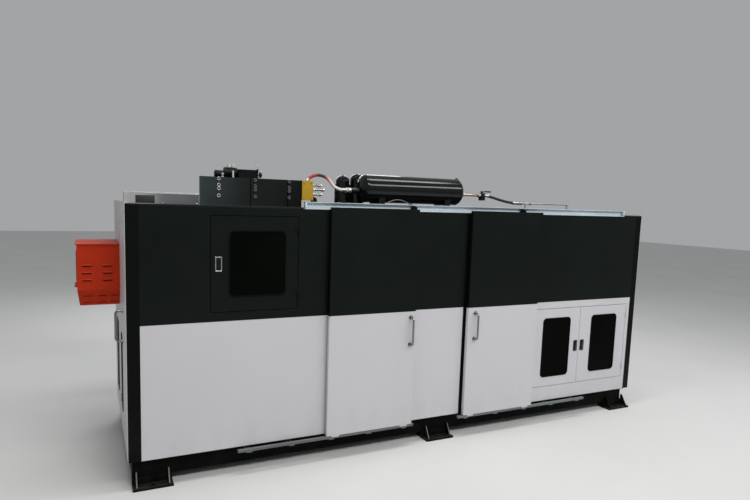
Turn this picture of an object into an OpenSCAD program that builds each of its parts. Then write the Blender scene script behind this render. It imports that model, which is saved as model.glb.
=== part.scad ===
// Stretch blow moulding machine for plastic bottles, a long cabinet on six feet.
// Places inside the modules are measured from the front left corner of the cabinet at floor level:
// X runs along the front, Y to the back, Z up. from_corner() moves them to the part's own frame,
// whose origin lies on the floor in the middle of the anchor holes.

/* [Cabinet] */
// Depth of the cabinet
body_d = 1450; // [1430:10:1560]
// Height of the panels' lower edge above the floor
panel_bottom = 195; // [190:5:215]
// Height of the front panels, lower and upper together
panel_h = 1650; // [1640:10:1700]
// Height of the light lower panels
lower_h = 890; // [870:5:900]
// Thickness of the sheet
sheet_t = 2; // [1.5:0.5:3]
// Depth of the folded edges
fold_d = 25; // [22:1:28]
// Gap round each hinged door
door_gap = 4; // [3:0.5:5]
// Width of the frame tubes
tube_w = 60; // [50:5:64]
// Depth of the front corner posts
post_d = 85; // [80:5:100]
// Width of the left corner post
left_post_w = 80; // [70:2:90]
// Width of the right corner post
right_post_w = 68; // [60:2:80]
// Height that the end walls stand above the front panels
wall_over = 20; // [15:1:30]
// Height of the folded roof sheets
roof_h = 10; // [8:1:15]

/* [Base and feet] */
// Height of the base beams
beam_h = 120; // [100:5:130]
// Width of the base beams
beam_w = 80; // [70:5:100]
// Number of beams across the base
cross_beams = 11; // [11:1:13]
// Distance from the front panels back to the base beams
beam_setback = 60; // [55:1:70]
// Thickness of the bed plate on the beams
bed_t = 15; // [12:1:20]
// Distance from the cabinet's end to the base frame
base_inset = 26; // [20:1:40]
// Width of a foot
foot_w = 254; // [240:2:270]
// Length of a foot plate, front to back
foot_d = 150; // [140:2:160]
// Distance that the foot plate stands out in front of the panels
foot_out = 18; // [16:1:24]
// Thickness of the foot plate
foot_plate_t = 15; // [12:1:18]
// Thickness of the sloping foot ribs
rib_t = 10; // [8:1:14]
// Distance from the foot's side to the rib
rib_inset = 20; // [14:1:40]
// Height of the rib where it meets the beam
rib_h = 110; // [90:2:130]
// Diameter of the anchor holes
anchor_d = 18; // [14:1:22]
// Distance from the foot plate's front edge to the anchor hole
anchor_edge = 36; // [28:1:44]
// Distance that the right feet stand out past the cabinet's end
foot_right_out = 14; // [10:1:20]
// Distance from the cabinet's left end to the middle feet
foot_mid_x = 2245; // [2150:5:2300]

/* [Sliding doors] */
// Width of each sliding door
door_w = 716; // [700:2:730]
// Left edge of the first sliding door
door_1_x = 1357; // [1340:1:1370]
// Distance between the two closed sliding doors
doors_apart = 495; // [480:1:510]
// Thickness of the sliding doors
door_t = 30; // [26:1:32]
// Distance from the fixed panels to the back of the sliding doors
door_standoff = 15; // [15:1:18]
// Height that the doors reach above the panels
door_over = 17; // [12:1:19]
// Distance that the doors reach below the panels
door_under = 7; // [5:1:8]
// Distance that a closed door overlaps each side of its doorway
door_lap = 38; // [30:1:45]
// Distance that the first door slides open
door_1_travel = 650; // [600:10:650]
// Distance that the second door slides open
door_2_travel = 620; // [600:10:630]
// Distance from the first door's right edge to its top roller
roller_1_inset = 24; // [24:1:60]
// Distance from the second door's right edge to its top roller
roller_2_inset = 179; // [150:1:200]
// Diameter of the top rollers
roller_d = 40; // [34:1:41]
// Width of the top rollers
roller_w = 12; // [10:1:14]
// Diameter of the roller axles
axle_d = 10; // [8:1:12]
// Length of each nylon shoe under the doors
shoe_l = 60; // [50:5:80]

/* [Rails] */
// Left end of the top rail
rail_x = 1170; // [1150:5:1200]
// Distance from the top rail to the cabinet's right end
rail_margin = 230; // [210:5:330]
// Height of the top rail
rail_h = 50; // [50:1:56]
// Depth of the top rail
rail_d = 30; // [28:1:32]
// Wall of the top rail
rail_t = 4; // [3:0.5:4]
// Height of the bottom rails
low_rail_h = 18; // [16:1:20]
// Width of the bottom rails
low_rail_w = 20; // [16:1:20]
// Gap between a bottom rail and the door above it
low_rail_gap = 4; // [3:0.5:5]
// Thickness of the arms that carry the bottom rails
rail_arm_t = 8; // [6:1:9]

/* [Handles] */
// Distance between a handle's fixing points
handle_cc = 210; // [190:2:220]
// Diameter of a handle's bar
handle_d = 16; // [12:1:18]
// Distance from the door to the middle of the handle's bar
handle_reach = 46; // [40:1:55]
// Radius of the handle's bends
handle_bend = 22; // [18:1:28]
// Diameter of the discs under the handles
rosette_d = 34; // [28:1:40]
// Thickness of the discs under the handles
rosette_t = 6; // [4:1:8]
// Height of the sliding doors' handles above the floor
handle_z = 934; // [900:2:960]
// Distance from the first door's right edge to its handle
handle_1_inset = 42; // [36:1:60]
// Distance from the second door's left edge to its handle
handle_2_inset = 66; // [50:1:80]
// Height of the end door's handle above the floor
end_handle_z = 1019; // [960:1:1100]

/* [Window door] */
// Left edge of the hinged window door
wdoor_x = 524; // [515:1:530]
// Width of the window door
wdoor_w = 602; // [596:2:608]
// Lower edge of the window door
wdoor_z = 1150; // [1140:1:1160]
// Height of the window door
wdoor_h = 638; // [620:2:640]
// Distance from the door's left edge to its window
window_inset = 121; // [115:1:130]
// Width of the window
window_w = 390; // [370:2:400]
// Distance from the door's lower edge to its window
window_low = 100; // [90:1:110]
// Height of the window
window_h = 440; // [420:2:450]
// Corner radius of every window
window_r = 32; // [20:1:40]
// Thickness of the window panes
pane_t = 5; // [4:0.5:6]
// Distance that a pane reaches past its window on each side
pane_lap = 15; // [10:1:18]

/* [Service doors] */
// Distance from the second sliding door to the service doors
sdoor_gap = 16; // [14:1:24]
// Distance from the left service door's hinge side to the line where both doors meet
sdoor_1_w = 540; // [530:2:560]
// Distance from that line to the right service door's hinge side
sdoor_2_w = 578; // [566:2:600]
// Distance from the service doors to the cabinet's right end
sdoor_margin = 112; // [106:2:140]
// Lower edge of the service doors
sdoor_z = 325; // [310:1:335]
// Height of the service doors
sdoor_h = 697; // [680:1:700]
// Width of each service door's window
swindow_w = 312; // [300:2:320]
// Height of each service door's window
swindow_h = 524; // [500:2:540]
// Distance from the doors' lower edge to their windows
swindow_low = 87; // [80:1:100]
// Distance from the left service door's left edge to its window
swindow_1_inset = 110; // [100:1:114]
// Distance from the right service door's left edge to its window
swindow_2_inset = 144; // [130:1:150]

/* [Latches and hinges] */
// Width of a flush latch
latch_w = 44; // [40:1:50]
// Height of a flush latch
latch_h = 98; // [90:2:110]
// Depth of the latch cup behind the door's face
latch_cup = 16; // [14:1:20]
// Width of the latch's rim
latch_rim = 4; // [3:0.5:6]
// Distance from the window door's left edge to its latch
wlatch_inset = 28; // [24:1:34]
// Distance from the meeting line to each service latch
slatch_inset = 18; // [16:1:26]
// Height of the window door's latch above the door's lower edge
wlatch_low = 272; // [250:2:300]
// Height of the service latches above the doors' lower edge
slatch_low = 295; // [270:1:320]
// Thickness of the latch paddles
paddle_t = 4; // [3:0.5:5]
// Radius of the paddle's pin
paddle_pin_r = 2.5; // [2:0.5:3]
// Radius of the hinge knuckles
knuckle_r = 5.5; // [5:0.5:6]
// Radius of the hinge pins
hinge_pin_r = 3; // [2.5:0.5:3.5]
// Height of one hinge knuckle
knuckle_h = 30; // [24:2:40]
// Thickness of the hinge leaves
leaf_t = 2.5; // [2:0.5:3]
// Width of the hinge leaves
leaf_w = 24; // [20:1:28]
// Distance from a door's top and bottom to its hinges
hinge_inset = 70; // [60:5:100]

/* [End wall] */
// Front edge of the end door, from the cabinet's front
edoor_y = 300; // [290:1:310]
// Width of the end door
edoor_w = 340; // [320:2:350]
// Lower edge of the end door
edoor_z = 325; // [310:1:340]
// Height of the end door
edoor_h = 1400; // [1380:5:1450]
// Distance from the end door's front edge to its window
ewindow_inset = 135; // [120:1:150]
// Width of the end door's window
ewindow_w = 160; // [150:1:170]
// Lower edge of both end windows
ewindow_z = 380; // [370:1:400]
// Height of both end windows
ewindow_h = 550; // [500:5:560]
// Front edge of the fixed end window
efixed_y = 930; // [900:5:950]
// Width of the fixed end window
efixed_w = 250; // [220:5:260]
// Distance from the end door's front edge to its handle
end_handle_inset = 60; // [50:1:80]

/* [Console] */
// Distance from the cabinet's front to the console
console_y = 650; // [650:5:680]
// Width of the console along the end wall
console_w = 480; // [440:5:500]
// Distance that the console stands out from the end wall
console_out = 280; // [260:2:300]
// Lower edge of the console
console_z = 1106; // [1100:1:1140]
// Height of the console
console_h = 446; // [430:2:470]
// Height of the console's sloping lower part
console_slope_h = 122; // [110:1:130]
// Distance that the lower part slopes inwards
console_slope_in = 90; // [70:1:100]
// Distance that the lower part narrows at its outer side
console_taper = 14; // [8:1:20]
// Distance that the console's lid stands over its sides
lid_over = 9; // [6:1:12]
// Thickness of the console's lid
lid_t = 6; // [4:1:8]
// Length of a louvre slot
louvre_w = 58; // [50:1:60]
// Height of a louvre slot
louvre_h = 8; // [6:1:10]
// Distance between louvre rows
louvre_pitch = 51; // [45:1:55]
// Height of the upper louvres above the console's lower edge
louvre_high = 186; // [170:2:200]
// Height of the lower louvres above the console's lower edge
louvre_low = 22; // [16:1:30]
// Distances of the upper louvre columns from the end wall
louvre_upper = [246, 110];
// Distances of the lower louvre columns from the end wall
louvre_lower = [242, 148, 62];
// Width of the touch screen
screen_w = 300; // [280:5:320]
// Height of the touch screen
screen_h = 210; // [190:5:220]
// Distance from the console's lower edge to the screen
screen_low = 180; // [170:2:190]
// Width of the screen's rim
bezel_w = 8; // [6:1:12]
// Thickness of the screen's rim
bezel_t = 4; // [3:0.5:6]
// Depth of the screen's housing
screen_d = 30; // [24:1:40]
// Radius of the emergency stop's head
stop_r = 20; // [16:1:22]
// Thickness of the emergency stop's head
stop_head = 14; // [10:1:18]
// Diameter of the emergency stop's stem
stop_stem = 22; // [18:1:24]
// Travel of the emergency stop
stop_travel = 5; // [4:0.5:6]
// Distance from the console's rear side to the emergency stop
stop_inset = 90; // [70:2:110]
// Height of the emergency stop above the console's lower edge
stop_low = 110; // [80:2:116]

/* [Clamp frame] */
// Left side of the clamp frame
clamp_x = 500; // [495:1:505]
// Width of the clamp frame
clamp_w = 733; // [728:1:738]
// Distance from the cabinet's front to the clamp frame
clamp_y = 250; // [240:1:260]
// Height of the clamp frame's front plate above the roof line
tower_h = 205; // [195:1:215]
// Height of the front plate
head_h = 340; // [330:5:350]
// Thickness of the front plate
head_t = 40; // [30:1:45]
// Thickness of the deck on the clamp columns
deck_t = 30; // [24:1:36]
// Distance that the gussets behind the front plate reach back
gusset_d = 180; // [140:5:220]
// Thickness of the gussets
gusset_t = 15; // [10:1:20]
// Width of the clamp columns
column_w = 60; // [50:1:60]
// Width of the grooves in the front plate
cheek_gap = 8; // [3:0.5:10]
// Depth of the grooves in the front plate
cheek_groove = 12; // [8:1:20]
// Places of the grooves along the front plate, from its left side
cheek_joints = [345, 622];
// Lower edge of the fixed clamp plates
fixed_z = 900; // [890:5:905]
// Height of the fixed clamp plates
fixed_h = 500; // [480:5:510]
// Diameter of the bars that guide the platens
bar_d = 40; // [36:1:44]
// Thickness of the platens
platen_t = 60; // [50:1:64]
// Outer diameter of the clamp cylinders
cyl_d = 130; // [120:2:140]
// Bore of the clamp cylinders
cyl_bore = 100; // [90:2:106]
// Length of the clamp cylinders
cyl_l = 150; // [146:1:160]
// Diameter of the piston rods
rod_d = 50; // [40:1:56]
// Thickness of the pistons
piston_t = 18; // [14:1:24]
// Distance that each platen opens
clamp_travel = 100; // [80:5:105]

/* [Moulds] */
// Number of cavities
cavities = 6; // [4:1:6]
// Distance between cavities
cavity_pitch = 85; // [84:1:86]
// Height of the moulds
mould_h = 290; // [286:1:294]
// Lower face of the moulds
mould_z = 1040; // [1036:1:1042]
// Thickness of one mould half
mould_t = 150; // [140:1:156]
// Radius of the bottle's body
bottle_r = 33; // [28:1:36]
// Radius of the bottle's neck
neck_r = 13; // [11:0.5:14]
// Height of the bottle's straight body
bottle_body_h = 150; // [130:1:160]
// Height of the bottle's shoulder
shoulder_h = 70; // [50:1:80]
// Depth of the base mould's dome
base_dome = 6; // [4:1:9]
// Distance that the base mould drops
base_travel = 60; // [40:5:60]

/* [Stretch unit] */
// Radius of the stretch rods
stretch_rod_r = 6; // [5:0.5:7]
// Distance that the stretch rods go down
stretch_travel = 285; // [250:5:285]
// Distance that the blow head goes down
blow_travel = 20; // [12:1:20]
// Radius of the blow nozzles
nozzle_r = 16; // [14:0.5:20]
// Radius of the upright guide rods
guide_r = 15; // [12:0.5:16]
// Width of the lifting rack
rack_w = 30; // [24:1:34]
// Distance from the middle of the clamp to the rack
rack_offset = 88; // [80:1:96]
// Width of the gear housing
gear_w = 150; // [140:2:156]
// Height of the gear housing
gear_h = 80; // [76:1:86]
// Distance from the middle of the clamp to the gear housing's left side
gear_left = 6; // [2:1:10]
// Diameter of the drive motor
motor_d = 84; // [76:1:90]
// Length of the drive motor
motor_l = 97; // [90:1:104]
// Diameter of the motor's brake housing
brake_d = 60; // [52:1:66]
// Length of the motor's brake housing
brake_l = 67; // [60:1:72]
// Diameter of the motor's two plugs
plug_d = 18; // [14:1:20]
// Height of the motor's plugs
plug_h = 22; // [14:1:26]
// Wall of the stand that carries the drive
stand_t = 12; // [8:1:16]

/* [Oven and chain] */
// Left end of the oven
oven_x = 1480; // [1460:5:1500]
// Number of oven modules
oven_modules = 7; // [4:1:7]
// Length of one oven module
module_l = 235; // [220:1:238]
// Number of lamps in a module
lamps = 7; // [5:1:7]
// Radius of a lamp
lamp_r = 6; // [5:0.5:7]
// Distance between lamps
lamp_pitch = 45; // [40:1:45]
// Left centre of the chain's loop
chain_x = 1480; // [1460:5:1500]
// Length of the chain's straight runs
chain_l = 2500; // [2400:20:2560]
// Radius of the chain's loop
chain_r = 150; // [140:1:155]
// Height of the chain's track
chain_z = 1400; // [1392:1:1410]
// Distance between carriers along the chain
carrier_pitch = 95; // [90:1:110]
// Width of the chain's track
track_w = 56; // [50:1:60]
// Thickness of the chain's track
track_t = 12; // [10:1:14]
// Length of one carrier
carrier_l = 60; // [50:1:70]
// Width of one carrier
carrier_w = 28; // [24:1:30]
// Height of one carrier
carrier_h = 18; // [14:1:22]
// Length of a carrier's spindle below the track
spindle_l = 70; // [60:1:70]
// Distance from the oven's table up to the chain
oven_rise = 440; // [436:1:446]
// Thickness of the oven's table
table_t = 30; // [24:1:36]
// Half of the oven table's width
table_half = 120; // [112:1:130]
// Width of the oven's legs
leg_w = 50; // [40:1:56]
// Distance from the preforms' lane to the lamp housings
lamp_out = 50; // [44:1:56]
// Depth of a lamp housing
lamp_box_d = 60; // [56:1:64]
// Height of a lamp housing
lamp_box_h = 360; // [350:2:360]
// Thickness of the reflectors
reflector_t = 6; // [4:1:8]
// Height of the lowest lamp above the table
lamp_low = 40; // [34:1:46]
// Gap between oven modules
module_gap = 6; // [4:1:8]

/* [Control plate] */
// Distance from the cabinet's front to the control plate
plate_y = 420; // [400:5:480]
// Thickness of the control plate
plate_t = 3; // [2:0.5:4]
// Height of the lowest row of switchgear above the panels' lower edge
row_low = 225; // [215:5:240]
// Distance between the rows of switchgear
row_pitch = 220; // [200:5:230]
// Number of rows of switchgear
rows = 3; // [2:1:3]
// Distance between the switchgear's devices
device_pitch = 94; // [84:2:110]
// Height of a switchgear device
device_h = 100; // [80:2:110]
// Depth of a switchgear device
device_d = 80; // [60:2:90]
// Height of the mounting rails
din_h = 35; // [30:1:40]
// Depth of the mounting rails
din_d = 8; // [6:0.5:10]

/* [Top equipment] */
// Length of the channel that covers the left end
cover_l = 455; // [440:1:480]
// Height of the channel that covers the left end
cover_h = 72; // [60:1:80]
// Front of the channel that covers the left end
cover_y = 40; // [34:1:60]
// Depth of the channel that covers the left end
cover_d = 90; // [70:2:110]
// Wall of that channel
cover_t = 3; // [2:0.5:4]
// Distance from the cabinet's left end to the opening in that channel
cover_hole_x = 68; // [50:1:90]
// Width of the opening in that channel
cover_hole_w = 114; // [90:2:130]
// Radius of the air tank
tank_r = 105; // [95:1:110]
// Left end of the air tank
tank_x = 1670; // [1660:1:1690]
// Length of the air tank
tank_l = 924; // [900:2:960]
// Distance from the cabinet's front to the tank's axis
tank_y = 200; // [180:1:220]
// Height of the tank's axis above the floor
tank_z = 2010; // [2004:1:2020]
// Length of each dished tank end
dish_l = 48; // [40:1:60]
// Width of the manifold block
manifold_w = 86; // [80:1:92]
// Height of the manifold block
manifold_h = 141; // [130:1:150]
// Depth of the manifold block
manifold_d = 90; // [80:1:100]
// Lower face of the manifold block
manifold_z = 1907; // [1895:1:1915]
// Diameter of the arched hose
hose_d = 24; // [20:1:25]
// Diameter of the outlet hose
outlet_d = 22; // [16:1:24]
// Radius of the two upright air filters
filter_r = 53; // [46:1:56]
// Distance from the cabinet's front to the filters
filter_y = 364; // [362:1:380]
// Place of the first filter, before the tank's left end
filter_back = 60; // [40:1:80]
// Distance between the two filters
filter_pitch = 122; // [116:1:140]
// Height of the first filter
filter_1_h = 253; // [240:1:270]
// Height of the second filter
filter_2_h = 270; // [240:1:280]
// Width of the tank's saddles
saddle_w = 50; // [40:2:60]
// Depth of the tank's saddles
saddle_d = 160; // [140:2:180]
// Distance from the tank's ends to the saddles
saddle_inset = 140; // [120:5:200]

/* [Hidden] */

$fn = 48;
eps = 0.5;              // how far a cut runs past the face it opens
run_fit = 0.05;         // radial clearance of a part that turns or slides on another
seat_gap = 0.3;         // gap between pieces that only meet
door_2_x = door_1_x + door_w + doors_apart;
sdoor_x = door_2_x + door_w + sdoor_gap;
sdoor_mid_x = sdoor_x + sdoor_1_w;
sdoor_end_x = sdoor_mid_x + sdoor_2_w;
body_l = sdoor_end_x + sdoor_margin;
rail_end_x = body_l - rail_margin;
clamp_d = body_d - 2 * clamp_y;
panel_top = panel_bottom + panel_h;
split_z = panel_bottom + lower_h;
roof_top = panel_top + roof_h;
bed_bottom = panel_bottom - bed_t;
tower_top = panel_top + tower_h;
bay_1 = [door_1_x + door_lap, door_1_x + door_w - door_lap];
bay_2 = [door_2_x + door_lap, door_2_x + door_w - door_lap];
posts = [bay_1[0] - tube_w, bay_1[1], bay_2[0] - tube_w, bay_2[1]];
dark_post_x = posts[2];
right_post_x = body_l - sheet_t - right_post_w;
foot_xs = [base_inset, foot_mid_x, body_l + foot_right_out - foot_w];
anchor_y = anchor_edge - foot_out;
origin_x = (foot_xs[0] + foot_xs[2] + foot_w) / 2;
door_front = -door_standoff - door_t;
door_bottom = panel_bottom - door_under;
door_top = panel_top + door_over;
low_rail_top = door_bottom - low_rail_gap;
low_rail_y = door_front + (door_t - low_rail_w) / 2;
hinge_y = -knuckle_r - 1;
hinged_d = fold_d - seat_gap;
roller_y = 4;           // back from the rail's open front to the rollers
bracket_y = -10;        // back of the roller brackets, clear of the rail
clamp_mid_x = clamp_x + clamp_w / 2;
clamp_mid_y = clamp_y + clamp_d / 2;
mould_w = cavities * cavity_pitch;
mould_top = mould_z + mould_h;
platen_w = clamp_w - 80;
platen_z = fixed_z + 40;
platen_h = mould_top + 10 - platen_z;
platen_y = clamp_mid_y - mould_t - platen_t;
bar_xs = [clamp_x + 80, clamp_x + clamp_w - 80];
bar_zs = [fixed_z + 90, mould_top - 40];
press_z = mould_z + mould_h / 2;
base_plate_h = 50;
tie_t = 24;
blow_z = mould_top + 40;
blow_h = 50;
nozzle_low = mould_top + blow_travel + 2;
stretch_z = blow_z + blow_h + stretch_travel + 15;
stretch_h = 50;
guide_xs = [clamp_mid_x - mould_w / 2 - 12, clamp_mid_x + mould_w / 2 + 12];
beam_l = mould_w + 90;
rack_x = clamp_mid_x + rack_offset;
cavity_xs = [for (i = [0:cavities - 1]) clamp_mid_x + (i - (cavities - 1) / 2) * cavity_pitch];
chain_mid_y = body_d / 2;
chain_loop = 2 * chain_l + 2 * PI * chain_r;
carrier_n = floor(chain_loop / carrier_pitch);
port_z = tank_z - 18;   // height of the ports in the tank's ends
port_d = 44;            // diameter of the bosses round those ports
boss_l = 64;            // length of the left boss
right_boss_l = 14;      // length of the right boss
coupling_l = 43;        // length of the coupling between the arched hose and the tank
hose_lead = 3;          // straight piece of a hose before its first bend and after its last
hose_x = clamp_x + clamp_w + 46;
hose_y = clamp_y + 25;
manifold_top = manifold_z + manifold_h;
hose_start = [hose_x + 15, hose_y, manifold_top + 18];
hose_end = [tank_x - boss_l - coupling_l, tank_y, port_z];
hose_r = (hose_end[0] - hose_start[0] - 15) / 2.5;      // bend radius of the arched hose
hose_dip = acos((hose_end[2] - hose_start[2]) / (2 * hose_r) + (1 + cos(45)) / 2);
manifold_face = clamp_x + clamp_w + seat_gap + manifold_w;
tank_end_x = tank_x + tank_l + right_boss_l;
valve_x = tank_x + tank_l + 231;
valve_half = 32;        // half of the ball valve's length
tube_x = valve_x + 358; // left end of the tube that goes on to the right
tube_z = port_z - 54;   // height of that tube
tube_l = 441;           // length of that tube's thin run

// Helpers

module from_corner() translate([-origin_x, -body_d / 2, 0]) children();

// A block between two corners
module block(x, y, z) translate([x[0], y[0], z[0]]) cube([x[1] - x[0], y[1] - y[0], z[1] - z[0]]);

module on_left_end() mirror([1, -1, 0]) children();

module on_right_end() translate([body_l, 0, 0]) mirror([1, 0, 0]) mirror([1, -1, 0]) children();

module on_rear() translate([0, body_d, 0]) mirror([0, 1, 0]) children();

module mirror_clamp() translate([0, 2 * clamp_mid_y, 0]) mirror([0, 1, 0]) children();

// Flat rectangle with round corners, its lower left corner at the origin
module rounded(w, h, r) {
    translate([r, 0]) square([w - 2 * r, h]);
    translate([0, r]) square([w, h - 2 * r]);
    for (x = [r, w - r], y = [r, h - r]) translate([x, y]) circle(r);
}

// Upright plate with round corners in the XZ plane, from y0 to y1
module rounded_plate(x, z, w, h, r, y0, y1)
    translate([x, y1, z]) rotate([90, 0, 0]) linear_extrude(y1 - y0) rounded(w, h, r);

// Folded sheet with its face at y = 0, edges folded back, and folded edges round each hole
module tray(x, z, holes = [], depth = fold_d) {
    difference() {
        block(x, [0, depth], z);
        difference() {
            block([x[0] + sheet_t, x[1] - sheet_t], [sheet_t, depth + eps],
                  [z[0] + sheet_t, z[1] - sheet_t]);
            for (h = holes)
                block([h[0] - sheet_t, h[1] + sheet_t], [0, depth + 2 * eps],
                      [h[2] - sheet_t, h[3] + sheet_t]);
        }
        for (h = holes) block([h[0], h[1]], [-eps, depth + eps], [h[2], h[3]]);
    }
}

// Rod along Y
module rod_y(x, z, d, y0, y1) translate([x, y1, z]) rotate([90, 0, 0]) cylinder(d = d, h = y1 - y0);

// Rod along X
module rod_x(x0, x1, y, z, d) translate([x0, y, z]) rotate([0, 90, 0]) cylinder(d = d, h = x1 - x0);

// Rods along X one after another from x, each step a length and a diameter
module stepped(x, y, z, steps) {
    ends = [for (i = 0, end = x; i < len(steps); end = end + steps[i][0], i = i + 1) end];
    for (i = [0:len(steps) - 1]) rod_x(ends[i] - (i > 0 ? 1 : 0), ends[i] + steps[i][0], y, z, steps[i][1]);
}

// Bent bar handle on a face at y = 0, standing out towards -Y, its middle at x, z
module d_handle(x, z) {
    straight = handle_reach - handle_bend;
    for (s = [-1, 1]) translate([x, 0, z + s * handle_cc / 2]) {
        rotate([90, 0, 0]) cylinder(d = rosette_d, h = rosette_t);
        rotate([90, 0, 0]) cylinder(d = handle_d, h = straight);
        translate([0, -straight, -s * handle_bend]) rotate([0, -90, 0]) rotate([0, 0, s > 0 ? -90 : 180])
            rotate_extrude(angle = 90) translate([handle_bend, 0]) circle(d = handle_d);
    }
    translate([x, -handle_reach, z - handle_cc / 2 + handle_bend])
        cylinder(d = handle_d, h = handle_cc - 2 * handle_bend);
}

// Knuckle heights of a door's two hinges
function hinge_zs(z, h) = [z + hinge_inset, z + h - hinge_inset - 2 * knuckle_h];

// Fixed half of a hinge at x, its leaf on the side that dir points to
module hinge_fixed(x, z, dir) {
    translate([x, hinge_y, z]) cylinder(r = knuckle_r, h = knuckle_h - seat_gap);
    translate([x, hinge_y, z]) cylinder(r = hinge_pin_r, h = 2 * knuckle_h);
    leaf_block(x, dir, [z, z + knuckle_h - seat_gap]);
}

// Moving half of a hinge at x, its leaf on the side that dir points to
module hinge_moving(x, z, dir) {
    difference() {
        union() {
            translate([x, hinge_y, z + knuckle_h]) cylinder(r = knuckle_r, h = knuckle_h);
            leaf_block(x, dir, [z + knuckle_h, z + 2 * knuckle_h]);
        }
        translate([x, hinge_y, z]) cylinder(r = hinge_pin_r + run_fit, h = 3 * knuckle_h);
    }
}

module leaf_block(x, dir, z) {
    far = x + dir * (knuckle_r + leaf_w);
    block([min(x, far), max(x, far)], [-leaf_t, 0], z);
}

// Opening in a door for a flush latch whose lower left corner is at x, z
module latch_hole(x, z)
    block([x + latch_rim, x + latch_w - latch_rim], [-eps, latch_cup + eps],
          [z + latch_rim, z + latch_h - latch_rim]);

// Cup of a flush latch, with the pin that its paddle turns on
module latch_cup_body(x, z) {
    difference() {
        union() {
            block([x, x + latch_w], [-1.5, 0], [z, z + latch_h]);
            block([x + latch_rim, x + latch_w - latch_rim], [0, latch_cup],
                  [z + latch_rim, z + latch_h - latch_rim]);
        }
        block([x + latch_rim + 2, x + latch_w - latch_rim - 2], [-2, latch_cup - 2],
              [z + latch_rim + 2, z + latch_h - latch_rim - 2]);
    }
    rod_x(x + latch_rim + 1, x + latch_w - latch_rim - 1, paddle_y(), paddle_z(z), 2 * paddle_pin_r);
}

function paddle_y() = 5;

function paddle_z(z) = z + latch_h - latch_rim - 2 - 7;

// Paddle of a flush latch, hung on the cup's pin
module latch_paddle(x, z) {
    side = latch_rim + 2 + seat_gap;
    difference() {
        union() {
            block([x + side, x + latch_w - side], [paddle_y() - paddle_t, paddle_y()],
                  [z + side + 1, paddle_z(z)]);
            rod_x(x + side, x + latch_w - side, paddle_y(), paddle_z(z), 2 * paddle_pin_r + 4);
        }
        rod_x(x, x + latch_w, paddle_y(), paddle_z(z), 2 * (paddle_pin_r + run_fit));
    }
}

// Arched hose as X and Z from its start: up at 45 degrees, over, down and level again, with a short
// straight lead at either end whose face lies just off the fitting
hose_over = [for (i = [0:11]) let(h = 45 - i / 11 * (45 + hose_dip))
    [hose_r * (sin(45) - sin(h)), hose_r * (cos(h) - cos(45))]];
hose_level = [for (i = [1:8]) let(h = hose_dip * (i / 8 - 1))
    hose_over[11] + [hose_r * (sin(h) + sin(hose_dip)), hose_r * (cos(hose_dip) - cos(h))]];
function ease(s) = s * s * (3 - 2 * s);
hose_run = [hose_end[0] - hose_start[0], hose_end[2] - hose_start[2]];
hose_leads = [[-hose_lead, -hose_lead] / sqrt(2), hose_run - [hose_lead, 0], hose_run - [seat_gap, 0]];
hose_route = [for (p = concat([hose_leads[0]], hose_over, hose_level, [hose_leads[1], hose_leads[2]]))
    [hose_start[0] + p[0], hose_y + (tank_y - hose_y) * ease(p[0] / hose_run[0]), hose_start[2] + p[1]]];

// Outlet hose, which sags a little on its way down to the tube, with the same leads
outlet_xs = [valve_x + valve_half, tube_x];
outlet_run = outlet_xs[1] - outlet_xs[0] - 2 * hose_lead;
outlet_sag = [for (i = [0:15]) let(s = i / 15) [outlet_xs[0] + hose_lead + s * outlet_run, tank_y,
    port_z - (port_z - tube_z) * (ease(s) + 0.22 * sin(180 * s) * (1 - s))]];
outlet_route = concat([[outlet_xs[0] + seat_gap, tank_y, port_z]], outlet_sag,
                      [[outlet_xs[1] - seat_gap, tank_y, tube_z]]);

// Round tube along a route of points, with a sides-sided section
module swept(route, d, sides = 10) {
    n = len(route);
    rings = [for (i = [0:n - 1]) let(
        a = route[max(i - 1, 0)],
        b = route[min(i + 1, n - 1)],
        t = (b - a) / norm(b - a),
        u = cross(t, [0, 1, 0]) / norm(cross(t, [0, 1, 0])),
        v = cross(t, u)
    ) [for (k = [0:sides - 1]) route[i] + d / 2 * (cos(360 * k / sides) * u + sin(360 * k / sides) * v)]];
    points = [for (ring = rings) for (p = ring) p];
    walls = [for (i = [0:n - 2]) for (k = [0:sides - 1]) let(j = (k + 1) % sides)
        [i * sides + k, i * sides + j, (i + 1) * sides + j, (i + 1) * sides + k]];
    first = [for (k = [sides - 1:-1:0]) k];
    last = [for (k = [0:sides - 1]) (n - 1) * sides + k];
    polyhedron(points = points, faces = concat(walls, [first, last]));
}

// Base and feet

// Tubes of a frame meet with a hairline gap, so that each tube stays a solid of its own
module base_frame() color([0.10, 0.11, 0.11]) from_corner() {
    x = [base_inset, body_l - base_inset];
    z = [bed_bottom - beam_h, bed_bottom - seat_gap];
    y_front = [beam_setback, beam_setback + beam_w];
    y_rear = [body_d - beam_setback - beam_w, body_d - beam_setback];
    block(x, y_front, z);
    block(x, y_rear, z);
    for (i = [0:cross_beams - 1]) let(cx = x[0] + i * (x[1] - x[0] - beam_w) / (cross_beams - 1))
        block([cx, cx + beam_w], [y_front[1] + seat_gap, y_rear[0] - seat_gap], z);
    block(x, [fold_d, body_d - fold_d], [bed_bottom, panel_bottom]);
}

module foot_bracket() {
    beam_low = bed_bottom - beam_h;
    difference() {
        union() {
            block([0, foot_w], [-foot_out, foot_d - foot_out], [0, foot_plate_t]);
            block([0, foot_w], [beam_setback, foot_d - foot_out], [foot_plate_t, beam_low]);
        }
        translate([foot_w / 2, anchor_y, -eps]) cylinder(d = anchor_d, h = foot_plate_t + 2 * eps);
    }
    for (x = [rib_inset, foot_w - rib_inset - rib_t])
        translate([x, 0, 0]) rotate([90, 0, 90]) linear_extrude(rib_t)
            polygon([[beam_setback, foot_plate_t], [6 - foot_out, foot_plate_t],
                     [beam_setback - 14, rib_h], [beam_setback, rib_h]]);
}

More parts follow.
